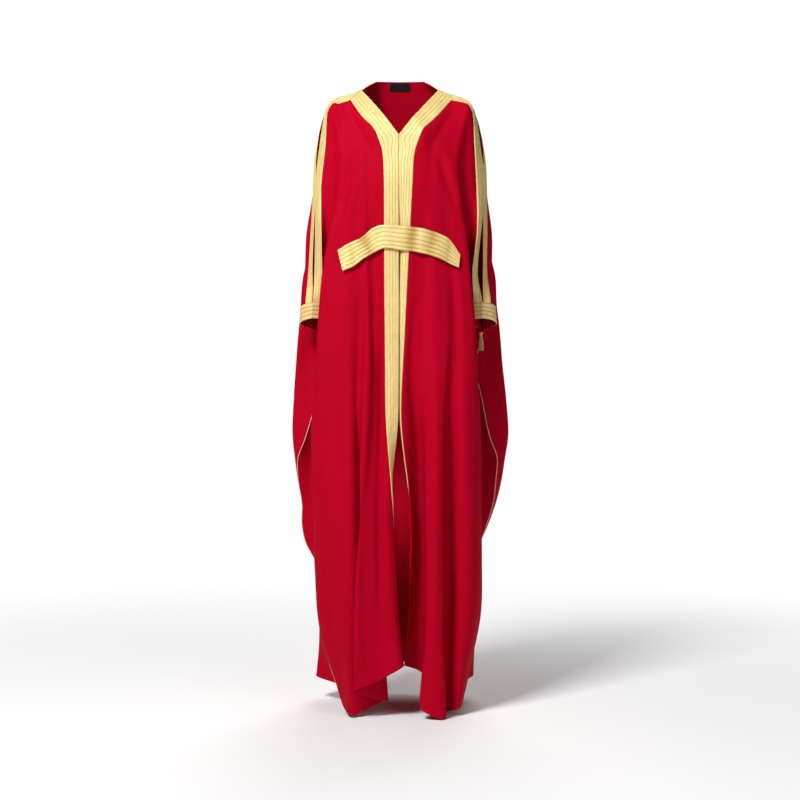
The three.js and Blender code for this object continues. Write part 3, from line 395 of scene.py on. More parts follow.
def linePoints(line, v):
    # One named line at row numbers v: the head runs through top, trim, chest and the first depths,
    # and below it the table gives x and y, and the depth with the hem's and the wrist's drop gives z.
    depth = depthAt(v)
    flat = line["path"](depth)
    hemSpan = shape["hemDepth"] - shape["hemFrom"]
    drop = np.maximum(depth - shape["hemFrom"], 0) * (-line["hem"] - shape["hemFrom"]) / hemSpan
    first, full, last = shape["tiltFrom"], shape["tiltFull"], shape["tiltTo"]
    near = np.where(depth <= full, eased((depth - first) / (full - first)),
                    1 - eased((depth - full) / (last - full)))
    tilt = line["share"] * near * shape["wristTilt"] * (flat[:, 1] - shape["wristFront"])
    tilt /= shape["wristBack"] - shape["wristFront"]
    z = -(np.minimum(depth, shape["hemFrom"]) + drop + tilt)
    below = np.column_stack([flat, z])
    depths = rowDepths[[0, 2]]
    upper = np.vstack([line["head"], np.column_stack([line["path"](depths), -depths])])
    head = along(upper, np.minimum(v, rowNumbers[0]) / 2)
    return np.where((v < rowNumbers[0])[:, None], head, below)


def panelGrid(panel, v, u):
    # Points of a panel at row numbers v and line numbers u.  The lines across are smooth, but they
    # turn a corner at the collar within the braid, and stop at the pit below the wrist.
    named = np.stack([linePoints(line, v) for line in panel["lines"]], axis=1)
    named[:, 0, 0] += panel["edgeShift"]
    front, behind = shape["shoulderBetween"]
    onShoulder = (named[..., 2] > shape["shoulderAbove"]) & (named[..., 1] < behind) & (named[..., 1] > front)
    named[..., 1] += panel["seamShift"] * onShoulder * np.clip(1 - v, 0, 1)[:, None]
    pit = panel["pit"]
    inward = unit((named[:, pit - 1] - named[:, pit]) * [1, 1, 0])
    pulled = eased((depthAt(v) - shape["tiltFull"]) / (shape["pullFull"] - shape["tiltFull"]))
    named[:, pit] += inward * shape["seamPull"] * pulled[:, None]
    whole = along(named, u)
    collar = panel["collar"]
    cornered = whole.copy()
    cornered[:, u <= collar] = along(named[:, :collar + 1], u[u <= collar])
    cornered[:, u > collar] = along(named[:, collar:], u[u > collar] - collar)
    whole = whole + (cornered - whole) * (1 - eased((v - braidRows) / 2))[:, None, None]
    narrow = whole.copy()
    inside = u <= pit
    narrow[:, inside] = along(named[:, :pit + 1], u[inside])
    grid = whole + (narrow - whole) * eased(v - wristRow)[:, None, None]
    level = np.clip(1 - v, 0, 1)[:, None, None]
    return grid * (1 - level) + straightAlong(named, u) * level


def outward(grid, turn):
    # The way out: across one and down the other tangent, each halfway between its two sides.
    def tangent(axis):
        steps = unit(np.diff(grid, axis=axis))
        first, last = np.take(steps, [0], axis=axis), np.take(steps, [-1], axis=axis)
        return np.concatenate([first, steps], axis=axis) + np.concatenate([steps, last], axis=axis)
    return unit(np.cross(tangent(0), tangent(1))) * turn


frontLeft = frontPanel(1, frontLeftLines, upperLeft, lowerLeft, sideHems["left"], collar=6, shift=0.2)
frontRight = frontPanel(-1, frontRightLines, upperRight, lowerRight, sideHems["right"], collar=5,
                        shift=-0.2)
backLeft = backHalf(1, upperLeft, lowerLeft, sideHems["left"])
backRight = backHalf(-1, upperRight, lowerRight, sideHems["right"])


cloth = {
    "thickness": 0.8,
    "rowCells": 7,                 # cells between one row and the next
    "lineCells": 8,                # cells between one named line and the next
    "creaseFade": 0.3,             # share of a crease's length over which each end fades
}


# Creases: soft ridges and troughs on top of the main folds.
def awayFrom(x, z, path):
    # Distance of points from a line of points, and their share of its length.
    path = np.array(path, float)
    starts = lengthsAlong(path)
    near, share = np.full(x.shape, 1e9), np.zeros(x.shape)
    for k, length in enumerate(np.diff(starts)):
        step = (path[k + 1] - path[k]) / length
        t = (x - path[k, 0]) * step[0] + (z - path[k, 1]) * step[1]
        held = np.clip(t, 0, length)
        gap = np.hypot(x - path[k, 0] - held * step[0], z - path[k, 1] - held * step[1])
        share = np.where(gap < near, (starts[k] + held) / starts[-1], share)
        near = np.minimum(gap, near)
    return near, share


def creased(grid, out, creases):
    # Moves the cloth out by each crease's height, which fades with the distance from its path
    # and towards both ends of it.
    lift = np.zeros(grid.shape[:2])
    for path, height, width in creases:
        near, share = awayFrom(grid[..., 0], grid[..., 2], path)
        ends = np.minimum(share, 1 - share) / cloth["creaseFade"]
        lift += height * np.exp(-(near / width) ** 2) * eased(ends)
    return grid + out * lift[..., None]


# Each row: x and z down the crease, its height, which is negative for a trough, and its width.
creasesLeft = [
    (((84, -148), (108, -220), (136, -300)), -5.0, 11),
    (((107, -150), (130, -225), (158, -318)), 2.2, 12),
    (((143, -120), (147, -220), (154, -350)), -4.2, 8),
    (((40, -215), (52, -262), (76, -318)), 1.3, 13),
    (((66, -200), (72, -265), (70, -330)), -1.2, 12),
    (((132, -395), (143, -520), (150, -640)), 2.4, 9),
    (((124, -425), (131, -540), (136, -700)), -4.0, 8),
    (((64, -432), (66, -560), (61, -700)), 1.6, 12),
    (((104, -428), (113, -560), (117, -690)), 1.5, 11),
    (((160, -640), (166, -800), (163, -1010)), -2.0, 11),
    (((30, -520), (26, -700), (30, -850)), -2.2, 8),
    (((36, -640), (39, -900), (43, -1150), (44, -1420)), -23.0, 11),
    (((78, -560), (82, -850), (80, -1150), (72, -1420)), 7.5, 11),
    (((112, -640), (116, -900), (114, -1200), (104, -1440)), -13.0, 12),
    (((166, -620), (172, -900), (168, -1200), (152, -1430)), 6.0, 17),
    (((196, -640), (214, -760), (226, -860)), -1.6, 9),
]
creasesRight = [
    (((-100, -146), (-124, -235), (-152, -335)), -6.0, 13),
    (((-84, -160), (-104, -250), (-136, -350)), 3.6, 15),
    (((-150, -150), (-158, -240), (-160, -350)), -4.0, 9),
    (((-47, -220), (-62, -280), (-88, -345)), 1.2, 13),
    (((-130, -452), (-137, -560), (-139, -700)), 2.2, 10),
    (((-74, -448), (-76, -570), (-70, -720)), 1.8, 11),
    (((-90, -450), (-94, -600), (-96, -770)), -3.6, 9),
    (((-108, -600), (-111, -880), (-114, -1240)), 4.6, 9),
    (((-146, -520), (-150, -760), (-146, -980)), -1.8, 11),
    (((-180, -560), (-186, -740), (-184, -960)), 1.7, 12),
    (((-40, -470), (-43, -700), (-48, -1000), (-42, -1330)), -10.0, 8),
    (((-72, -560), (-78, -800), (-88, -1000)), 6.5, 9),
    (((-98, -1020), (-96, -1200), (-94, -1390)), 5.0, 10),
    (((-150, -1050), (-146, -1200), (-136, -1390)), 2.2, 14),
    (((-170, -1000), (-167, -1150), (-160, -1320)), -2.0, 11),
    (((-204, -650), (-222, -780), (-238, -870)), -1.7, 10),
]
creasesBack = [
    (((60, -150), (96, -260), (142, -380)), -3.0, 14),
    (((86, -140), (122, -250), (168, -360)), 2.6, 14),
    (((-56, -160), (-90, -280), (-134, -420)), -3.3, 15),
    (((-90, -130), (-128, -230), (-170, -330)), 2.2, 13),
    (((20, -190), (28, -380), (24, -620)), -1.8, 16),
    (((-22, -240), (-34, -480), (-30, -760)), 2.0, 17),
    (((200, -420), (214, -580), (224, -760)), -3.0, 13),
    (((-196, -400), (-216, -560), (-230, -700)), -2.6, 14),
    (((176, -520), (184, -700), (180, -900)), 2.6, 14),
    (((-172, -560), (-178, -760), (-190, -930)), 2.4, 15),
    (((70, -600), (82, -900), (92, -1230)), 3.0, 17),
    (((-64, -680), (-80, -960), (-86, -1330)), -3.0, 16),
    (((34, -880), (40, -1120), (48, -1390)), -2.4, 14),
    (((-24, -900), (-20, -1130), (-14, -1380)), 2.4, 15),
    (((-130, -980), (-138, -1180), (-150, -1400)), 2.8, 15),
    (((132, -1000), (140, -1180), (150, -1380)), -2.6, 13),
]


def fineCells(panel):
    # Row and line numbers of a fine grid, from the top row and from the first line to the last.
    last = len(panel["lines"]) - 1
    return spread(0, lastRow, int(lastRow) * cloth["rowCells"]), spread(0, last, last * cloth["lineCells"])


def finePanel(panel, creases):
    # The whole panel with its creases as a fine grid.
    v, u = fineCells(panel)
    grid = panelGrid(panel, v, u)
    grid = creased(grid, outward(grid, panel["turn"]), creases)
    keep = shortened(panel, v, u)
    return {**panel, "grid": grid, "out": outward(grid, panel["turn"]), "keep": keep, "start": 0, "sign": 1}


def fineBack(creases):
    # The two halves of the back as one grid from the right sleeve to the left sleeve.
    v, u = fineCells(backLeft)
    grid = np.concatenate([panelGrid(backRight, v, u)[:, :0:-1], panelGrid(backLeft, v, u)], axis=1)
    grid = creased(grid, outward(grid, -1), creases)
    keep = shortened(backLeft, v, u)
    keep = np.concatenate([keep[:, ::-1], keep], axis=1)
    whole = {"grid": grid, "out": outward(grid, -1), "keep": keep, "turn": -1}
    middle = len(u) - 1
    return whole, [{**half, **whole, "turn": half["turn"], "start": middle, "sign": sign}
                   for half, sign in ((backLeft, 1), (backRight, -1))]


def shortened(panel, v, u):
    # Cells to keep: all down to the wrist, and below it only as far as the side seam.
    return (u[None, 1:] <= panel["pit"] + 1e-6) | (v[1:, None] <= wristRow + 1e-6)


def sampled(fine, v, u):
    # Points of a fine panel and its ways out at row numbers v and line numbers u, mixed from the
    # four nearest.
    row = v * cloth["rowCells"]
    column = fine["start"] + fine["sign"] * u * cloth["lineCells"]
    i = np.clip(np.floor(row).astype(int), 0, fine["grid"].shape[0] - 2)
    j = np.clip(np.floor(column).astype(int), 0, fine["grid"].shape[1] - 2)
    down, aside = (row - i)[..., None], (column - j)[..., None]

    def mixed(values):
        upper = values[i, j] * (1 - aside) + values[i, j + 1] * aside
        lower = values[i + 1, j] * (1 - aside) + values[i + 1, j + 1] * aside
        return upper * (1 - down) + lower * down
    return mixed(fine["grid"]), unit(mixed(fine["out"]))


def patch(fine, rows, lines, cells):
    # A part of a fine panel between two rows and two lines.
    v, u = np.meshgrid(spread(*rows, cells[0]), spread(*lines, cells[1]), indexing="ij")
    return sampled(fine, v, u)


# Meshes.
def addMesh(name, points, faces, material, uv=None, sharp=60):
    # Puts points in millimetres and faces of one size into a new object at the origin.
    used, numbers = np.unique(faces, return_inverse=True)
    faces = numbers.reshape(faces.shape)
    mesh = bpy.data.meshes.new(name)
    mesh.from_pydata((points[used] * 0.001).tolist(), [], faces.tolist())
    if uv is not None:
        layer = mesh.uv_layers.new(name="cloth")
        layer.uv.foreach_set("vector", (uv[used][faces] * 0.001).ravel().astype(np.float32))
    mesh.polygons.foreach_set("use_smooth", np.ones(len(mesh.polygons), bool))
    mesh.set_sharp_from_angle(angle=np.radians(sharp))
    mesh.materials.append(material)
    piece = bpy.data.objects.new(name, mesh)
    bpy.context.scene.collection.objects.link(piece)
    return piece


def gridQuads(rows, columns, turn, keep=None):
    # The four points of each cell of a grid, or of the cells to keep.
    index = np.arange(rows * columns).reshape(rows, columns)
    quads = np.stack([index[:-1, :-1], index[1:, :-1], index[1:, 1:], index[:-1, 1:]], -1)
    quads = quads[keep] if keep is not None else quads.reshape(-1, 4)
    return quads if turn > 0 else quads[:, ::-1]


def shellOf(grid, out, near, far, turn, keep=None):
    # The grid moved out to far and to near, with a rim that joins their free edges.
    count = grid.shape[0] * grid.shape[1]
    quads = gridQuads(*grid.shape[:2], turn, keep)
    edges = np.concatenate([quads[:, [k, (k + 1) % 4]] for k in range(4)])
    isFree = ~np.isin(edges[:, 0] * count + edges[:, 1], edges[:, 1] * count + edges[:, 0])
    a, b = edges[isFree].T
    rim = np.column_stack([b, a, a + count, b + count])
    far, near = (np.broadcast_to(value, grid.shape[:2])[..., None] for value in (far, near))
    points = np.concatenate([(grid + out * far).reshape(-1, 3), (grid + out * near).reshape(-1, 3)])
    return points, np.concatenate([quads, quads[:, ::-1] + count, rim])


def lengthsOf(grid):
    # Distance travelled across and down the grid, for a pattern that follows the cloth.
    across = np.linalg.norm(np.diff(grid, axis=1), axis=-1)
    down = np.linalg.norm(np.diff(grid, axis=0), axis=-1)
    x = np.concatenate([np.zeros((grid.shape[0], 1)), np.cumsum(across, axis=1)], axis=1)
    y = np.concatenate([np.zeros((1, grid.shape[1])), np.cumsum(down, axis=0)], axis=0)
    return np.stack([x, y], -1)


def areaOf(points, faces):
    # Half the product of both diagonals, square to each other, of each four-sided face.
    a, b, c, d = (points[faces[:, k]] for k in range(4))
    return np.linalg.norm(np.cross(c - a, d - b), axis=1).sum() / 2


def finish(piece, slot, *nodes):
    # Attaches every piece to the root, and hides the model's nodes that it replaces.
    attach(piece, "root")
    if nodes:
        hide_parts(*nodes)
    return piece


# Shader maths.
class Wire:
    # A node socket that can be added, multiplied and so on, and that makes other nodes.
    def __init__(self, tree, socket=None):
        self.tree = tree
        self.socket = socket

    def node(self, kind, settings=None, inputs=None, output=0):
        # Adds a node, sets it up, fills or links its inputs and returns one of its outputs.
        made = self.tree.nodes.new(kind)
        for name, value in (settings or {}).items():
            if name == "stops":
                ramp = made.color_ramp.elements
                while len(ramp) < len(value):
                    ramp.new(0.5)
                for stop, (place, colour) in zip(ramp, value):
                    stop.position, stop.color = place, colour
            else:
                setattr(made, name, value)
        for name, value in (inputs or {}).items():
            if isinstance(value, Wire):
                self.tree.links.new(value.socket, made.inputs[name])
            else:
                made.inputs[name].default_value = value
        return Wire(self.tree, made.outputs[output])

    def other(self, output):
        # Another output of the node that this one comes from.
        return Wire(self.tree, self.socket.node.outputs[output])

    def math(self, operation, *values):
        return self.node("ShaderNodeMath", {"operation": operation}, dict(enumerate((self, *values))))

    def wave(self):
        # A sine wave of this value, between 0 and 1.
        return self.math("SINE") * 0.5 + 0.5

    def mix(self, first, second):
        # A colour between two, with this value as the share of the second.
        settings = {"data_type": "RGBA", "blend_type": "MIX"}
        return self.node("ShaderNodeMix", settings, {0: self, 6: first, 7: second}, 2)

    def __add__(self, other):
        return self.math("ADD", other)

    def __sub__(self, other):
        return self.math("SUBTRACT", other)

    def __rsub__(self, other):
        return self.node("ShaderNodeMath", {"operation": "SUBTRACT"}, {0: other, 1: self})

    def __mul__(self, other):
        return self.math("MULTIPLY", other)

    __radd__ = __add__
    __rmul__ = __mul__


def makeWorld():
    # The camera sees white all round, and the cloth gets a weaker light from there.
    world = bpy.data.worlds.new("studio")
    world.use_nodes = True
    around, white = world.node_tree.nodes["Background"], (1, 1, 1, 1)
    around.inputs["Color"].default_value = white
    around.inputs["Strength"].default_value = view["ambient"]
    wire = Wire(world.node_tree, around.outputs[0])
    seen = wire.node("ShaderNodeBackground", None, {"Color": white, "Strength": view["white"]})
    ray = wire.node("ShaderNodeLightPath", None, None, "Is Camera Ray")
    mix = wire.node("ShaderNodeMixShader", None, {0: ray, 1: wire, 2: seen})
    wire.tree.links.new(mix.socket, wire.tree.nodes["World Output"].inputs["Surface"])
    bpy.context.scene.world = world


makeWorld()


def newMaterial(name, constants):
    # A material with its fixed numbers set on the shader, and a wire to build on.
    material = bpy.data.materials.new(name)
    material.use_nodes = True
    tree = material.node_tree
    shader = tree.nodes["Principled BSDF"]
    for socket, value in constants.items():
        shader.inputs[socket].default_value = value
    return material, shader, Wire(tree)


def finishMaterial(wire, shader, colour=None, roughness=None, height=None, strength=0.3, distance=0.0003):
    for socket, value in (("Base Color", colour), ("Roughness", roughness)):
        if value is not None:
            wire.tree.links.new(value.socket, shader.inputs[socket])
    if height is not None:
        bumps = {"Height": height, "Strength": strength, "Distance": distance}
        bump = wire.node("ShaderNodeBump", None, bumps)
        wire.tree.links.new(bump.socket, shader.inputs["Normal"])


def placeOn(wire, kind):
    # The place on the piece, on its own map or in the object, as a vector and as its three numbers.
    at = wire.node("ShaderNodeTexCoord", None, None, kind)
    first = at.node("ShaderNodeSeparateXYZ", None, {0: at})
    return at, first, first.other(1), first.other(2)


def noise(wire, scale, detail, at, rough=0.5):
    inputs = {"Vector": at, "Scale": scale, "Detail": detail, "Roughness": rough}
    return wire.node("ShaderNodeTexNoise", None, inputs)


crepeLook = {
    "colour": (0.46, 0.0009, 0.0175, 1),
    "deep": (0.39, 0.0006, 0.0130, 1),
    "grain": 1500,                # grains a metre
    "yarn": 4200,                 # turn of the yarns' waves a metre
    "slow": 9,
}


def redCrepe():
    # Twisted yarns in both directions under a fine uneven pebble, with a slow change of tone.
    constants = {"Sheen Weight": 0.05, "Sheen Roughness": 0.35, "Sheen Tint": (1, 0.04, 0.1, 1),
                 "Specular IOR Level": 0.02}
    material, shader, wire = newMaterial("redCrepe", constants)
    at, across, down, _ = placeOn(wire, "UV")
    pebble = noise(wire, crepeLook["grain"], 2, at, 0.6)
    weft = (across * crepeLook["yarn"] + pebble * 3).math("SINE")
    warp = (down * crepeLook["yarn"] + pebble * 3).math("SINE")
    slow = noise(wire, crepeLook["slow"], 3, at)
    tone = slow * 0.7 + pebble * 0.3
    colour = tone.mix(crepeLook["deep"], crepeLook["colour"])
    rough = 0.56 + pebble * 0.16
    finishMaterial(wire, shader, colour, rough, weft * 0.15 + warp * 0.15 + pebble, 0.35, 0.00012)
    return material


braidLook = {
    # Shaded, mid and highlit gold for the ramp: painted shade and painted glints.
    "light": (0.96, 0.83, 0.41, 1),
    "mid": (0.85, 0.62, 0.22, 1),
    "dark": (0.52, 0.32, 0.09, 1),
    # colour of the painted shade in grooves, at rounded edges and in the belt's dents
    "groove": (0.46, 0.25, 0.03, 1),
    "rib": 0.0042,                # metres across before the threads' slant turns
    "thread": 3400,               # turn of the threads' waves a metre
    "grain": 900, "glint": 420, "slow": 38,
}


def goldBraid():
    # Short slanting threads whose slant changes with each rib, sparkling with painted glints, and painted
    # shade, in random flecks.
    constants = {"Metallic": 0.12, "Sheen Weight": 0.2, "Sheen Tint": (1, 0.9, 0.6, 1),
                 "Specular IOR Level": 0.5}
    material, shader, wire = newMaterial("goldBraid", constants)
    at, across, run, _ = placeOn(wire, "UV")
    grain = noise(wire, braidLook["grain"], 3, at, 0.7)
    slant = across.math("PINGPONG", braidLook["rib"])
    thread = ((run + slant) * braidLook["thread"] + grain * 1.5).wave()
    glint = noise(wire, braidLook["glint"], 4, at, 0.75)
    slow = noise(wire, braidLook["slow"], 3, at)
    # The ramp turns the flecks, threads and slow tone into shaded, mid or highlit gold: painted shade and
    # painted glints at random.
    ramp = wire.node("ShaderNodeValToRGB", {"stops": [
        (0.24, braidLook["dark"]), (0.46, braidLook["mid"]), (0.74, braidLook["light"])]},
        {0: glint * 0.5 + thread * 0.22 + slow * 0.32})
    # Painted shade: the groove attribute pulls the colour towards the groove colour in grooves, at rounded
    # edges and in the belt's dents.
    groove = wire.node("ShaderNodeAttribute", {"attribute_name": "groove"}, None, 2)
    colour = groove.mix(ramp, braidLook["groove"])
    finishMaterial(wire, shader, colour, 0.36 + grain * 0.3, thread * 0.7 + glint * 0.6, 0.5, 0.00035)
    return material


threadLook = {"grain": 1400, "twist": 5200, "slant": 0.6}
tapeLook = {"grain": 1800, "rib": 9000, "light": (0.010, 0.0095, 0.009, 1), "dark": (0.002, 0.002, 0.002, 1)}


def goldThread(name, light, dark, metallic):
    # Twisted thread: fine stripes wound round it.
    material, shader, wire = newMaterial(name, {"Metallic": metallic, "Sheen Weight": 0.2})
    at, across, _, height = placeOn(wire, "Object")
    grain = noise(wire, threadLook["grain"], 2, at, 0.6)
    wound = (height + across * threadLook["slant"]) * threadLook["twist"]
    twist = (wound + grain * 2).wave()
    colour = (twist * 0.45 + grain * 0.55).mix(dark, light)
    finishMaterial(wire, shader, colour, 0.38 + grain * 0.25, twist + grain, 0.4, 0.0002)
    return material


def blackSatin():
    # Plain woven tape: fine ribs across it.
    constants = {"Sheen Weight": 0.04, "Specular IOR Level": 0.2}
    material, shader, wire = newMaterial("blackSatin", constants)
    at, _, down, _ = placeOn(wire, "UV")
    grain = noise(wire, tapeLook["grain"], 2, at, 0.6)
    rib = (down * tapeLook["rib"] + grain).wave()
    colour = (rib * 0.5 + grain * 0.5).mix(tapeLook["dark"], tapeLook["light"])
    finishMaterial(wire, shader, colour, 0.32 + grain * 0.3, rib + grain * 0.5, 0.35, 0.0001)
    return material


def palePaper():
    # Matt paper which, for the camera, fades into the white ground with the distance from the middle.
    material, shader, wire = newMaterial("palePaper", {"Roughness": 0.95, "Specular IOR Level": 0.1})
    at = wire.node("ShaderNodeTexCoord", None, None, "Object")
    colour = noise(wire, 3, 2, at).mix((0.93, 0.93, 0.93, 1), (0.95, 0.95, 0.95, 1))
    finishMaterial(wire, shader, colour)
    flat = at.node("ShaderNodeVectorMath", {"operation": "MULTIPLY"}, {0: at, 1: (1, 1, 0)})
    far = flat.node("ShaderNodeVectorMath", {"operation": "LENGTH"}, {0: flat}, "Value")
    start, end = view["fade"]
    fade = far.node("ShaderNodeMapRange", {"interpolation_type": "SMOOTHSTEP"}, {0: far, 1: start, 2: end})
    seen = wire.node("ShaderNodeLightPath", None, None, "Is Camera Ray")
    paper, white = Wire(wire.tree, shader.outputs[0]), wire.node("ShaderNodeEmission")
    mix = wire.node("ShaderNodeMixShader", None, {0: fade * seen, 1: paper, 2: white})
    wire.tree.links.new(mix.socket, wire.tree.nodes["Material Output"].inputs["Surface"])
    return material


crepe, braidCloth, satin = redCrepe(), goldBraid(), blackSatin()
pipingThread = goldThread("pipingThread", (0.88, 0.76, 0.46, 1), (0.62, 0.46, 0.2, 1), 0.1)
tasselThread = goldThread("tasselThread", (0.86, 0.68, 0.30, 1), (0.5, 0.33, 0.09, 1), 0.15)
stitchThread = goldThread("stitchThread", (0.5, 0.36, 0.11, 1), (0.3, 0.19, 0.05, 1), 0.1)
print("materials")

# The red panels.
fineLeft = finePanel(frontLeft, creasesLeft)
fineRight = finePanel(frontRight, creasesRight)
backWhole, (fineBackLeft, fineBackRight) = fineBack(creasesBack)


def addCloth(name, fine):
    # A closed shell with half its thickness on each side of the fine grid.
    half = cloth["thickness"] / 2
    points, faces = shellOf(fine["grid"], fine["out"], -half, half, fine["turn"], fine["keep"])
    uv = np.tile(lengthsOf(fine["grid"]).reshape(-1, 2), (2, 1))
    piece = addMesh(name, points, faces, crepe, uv)
    print(name, len(faces) * 2, "triangles,", round(areaOf(points, faces) / 2e6, 3), "square metres")
    return finish(piece, "red_cloth", name)


leftPiece = addCloth("front_left", fineLeft)
rightPiece = addCloth("front_right", fineRight)
backPiece = addCloth("back", backWhole)

# Braid.
tape = {
    "near": 0.6, "far": 2.2,        # distances of its two sides from the middle of the cloth
    "grooves": (0.2, 0.4, 0.6, 0.8),
    "grooveDepth": 0.7, "grooveWidth": 0.022,
    "tone": 0.55,                   # how much painted shade darkens the grooves and rounded edges
    "edges": (0.02, 0.045),         # share of the width that rounds off at each edge
    "acrossCells": 50,
    "closer": 0.45,                 # how far the centre edge reaches past the cloth's edge
    "gap": 0.012,                   # share of a line's cell left free where two braids meet
    "stitchRows": (0.09, 0.4, 0.6, 0.91),
    "pitch": 3.3,
    "edgeRound": 0.85, "edgeShade": 0.35,
    "flatNear": 0.42, "flatFar": 0.65,   # distances where it lies behind a fold
}
narrowTape = {**tape, "grooves": (0.24, 0.5, 0.76), "grooveWidth": 0.035, "edges": (0.07, 0.07),
              "stitchRows": (0.12, 0.88), "acrossCells": 28}
stitchPlaces = []


def tapeTop(w, settings):
    # Height of the braid across its width w from 0 to 1: rounded edges, and a groove between ribs.
    # Also the painted shade at each place, from 0 to 1, deepest in a groove and where an edge rounds off.
    first, last = settings["edges"]
    edge = np.clip(np.minimum(w / first, (1 - w) / last), 0, 1)
    rise = settings["far"] - settings["near"]
    top = settings["near"] + rise * np.sqrt(1 - (1 - edge) ** 2 * settings["edgeRound"])
    depth = (1 - edge) * settings["edgeShade"]
    for groove in settings["grooves"]:
        dip = np.exp(-((w - groove) / settings["grooveWidth"]) ** 2)
        top = top - settings["grooveDepth"] * dip
        depth = depth + dip
    return top, depth * settings["tone"]


def rememberStitches(surface, out, rows, pitch):
    # Keeps a place for each stitch: lines along the braid, a stitch at each pitch of its length.
    for share in rows:
        column = share * (surface.shape[1] - 1)
        low = int(column)
        line = surface[:, low] + (surface[:, low + 1] - surface[:, low]) * (column - low)
        lengths = lengthsAlong(line)
        places = np.arange(pitch * 0.7, lengths[-1] - pitch * 0.4, pitch)   # none at the very ends
        at, ahead = placesOn(line, lengths, places), placesOn(line, lengths, places + 0.5)
        stitchPlaces.append((at, unit(ahead - at), unit(placesOn(out[:, low], lengths, places))))


def addBraid(name, nodes, grid, out, turn, settings=tape, dents=None, thin=0):
    # A shell on part of a panel, whose rows run along the braid and whose columns run across it.
    # Where thin is 1 it lies flat on the cloth.
    w = np.linspace(0, 1, grid.shape[1])[None]
    top, depth = (np.broadcast_to(value, grid.shape[:2]) for value in tapeTop(w, settings))
    top = top + (settings["flatFar"] - top) * thin
    near = settings["near"] + (settings["flatNear"] - settings["near"]) * thin
    points, faces = shellOf(grid, out, near, top, turn)
    piece = addMesh(name, points, faces, braidCloth, np.tile(lengthsOf(grid).reshape(-1, 2), (2, 1)))
    # Painted shade: the grooves' and edges' shade, with the belt's dent shade added.
    shade = depth if dents is None else depth + dents
    used = np.unique(faces)
    layer = piece.data.attributes.new("groove", "FLOAT", "POINT")
    layer.data.foreach_set("value", np.tile(shade.ravel(), 2)[used].astype(np.float32))
    rememberStitches(grid + out * top[..., None], out, settings["stitchRows"], settings["pitch"])
    return finish(piece, "gold_braid", *nodes)


def turned(grid, out):
    # The same grid with its rows as columns.
    return grid.transpose(1, 0, 2), out.transpose(1, 0, 2)


band = {
    "neckCells": 69, "bendCells": 23, "cells": 419,
    "corner": (0.05, 1.1),             # size of the corner at the neck edge, and its growth across
    "hidden": {"left": 1060, "right": 940},   # depths where it passes behind a fold
    "hiddenOver": 120, "tuck": 0.16,
    "closerWithin": 0.05,              # share of the width, and rows, over which it reaches closer
}


def frontBand(fine, hidden):
    # One strip from the collar along the neck edge, round the bottom of the neck and down the centre
    # edge.  At share w of its width it runs along row 2w, turns a corner at line 2w that is softer
    # the farther it lies from the neck edge, and runs down that line.  Below the hidden depth its
    # outer edge lies a little behind the fold.
    w = spread(0, 1, tape["acrossCells"])[None]
    soft = band["corner"][0] + band["corner"][1] * w
    line = braidRows * w
    start = line + soft
    aside = spread(1, 0, band["neckCells"])[:, None]
    bend = spread(0, 1, band["bendCells"])[1:, None]
    after = spread(0, 1, band["cells"])[1:, None]
    before = start + (fine["collar"] - tape["gap"] - start) * aside
    u = np.concatenate([before, line + soft * (1 - bend) ** 2, line + 0 * after])
    v = np.concatenate([line + 0 * aside, line + soft * bend ** 2, start + (lastRow - start) * after])
    behind = eased((depthAt(v) - hidden) / band["hiddenOver"]) * (v > rowNumbers[0])
    grid, out = sampled(fine, v, u * (1 - band["tuck"] * behind))
    inner = unit(grid[:, :1] - grid[:, 1:2])
    closer = tape["closer"] * np.clip(1 - w / band["closerWithin"], 0, 1) * (v[:, :1] > band["closerWithin"])
    return grid + inner * closer[..., None], out, behind


gap = tape["gap"]
braids = {"left": [], "right": [], "back": []}
backSleeve, backSlit = 9, 9.92         # lines of the back between which its sleeve braid lies
shoulderCells, sleeveCells = (tape["acrossCells"], 60), (170, narrowTape["acrossCells"])
for side, fine in (("left", fineLeft), ("right", fineRight)):
    slit = len(fine["lines"]) - 1
    grid, out, behind = frontBand(fine, band["hidden"][side])
    nodes = (f"neck_braid_{side}", f"centre_braid_{side}")
    braids[side].append(addBraid(f"front_band_{side}", nodes, grid, out, fine["turn"], thin=behind))
    grid, out = turned(*patch(fine, (0, braidRows), (fine["collar"] + gap, slit - 1 - gap), shoulderCells))
    name = f"shoulder_braid_{side}"
    braids[side].append(addBraid(name, (name,), grid, out, -fine["turn"]))
    grid, out = patch(fine, (0, cuffRow - gap), (slit - 1 + gap, slit), sleeveCells)
    name = f"sleeve_braid_{side}"
    braids[side].append(addBraid(name, (name,), grid, out, fine["turn"], narrowTape))
for side, fine in (("left", fineBackLeft), ("right", fineBackRight)):
    collar = fine["collar"]
    for part, lines in (("neck", (gap, collar - gap)), ("shoulder", (collar + gap, backSleeve - gap))):
        name = f"{part}_braid_back_{side}"
        grid, out = turned(*patch(fine, (0, braidRows), lines, shoulderCells))
        braids["back"].append(addBraid(name, (name,), grid, out, -fine["turn"]))
    name = f"sleeve_braid_back_{side}"
    grid, out = patch(fine, (0, cuffRow - gap), (backSleeve + gap, backSlit), sleeveCells)
    braids["back"].append(addBraid(name, (name,), grid, out, fine["turn"], narrowTape))
print("braids")

# Wrist braids.
wristTape = {**tape, "grooves": (0.25, 0.5, 0.75), "grooveDepth": 0.9, "grooveWidth": 0.04,
             "edges": (0.08, 0.08), "tone": 0.6, "stitchRows": (0.25, 0.5, 0.75), "acrossCells": 36,
             "far": 2.5, "besidePit": 0.45, "aroundCells": 60}


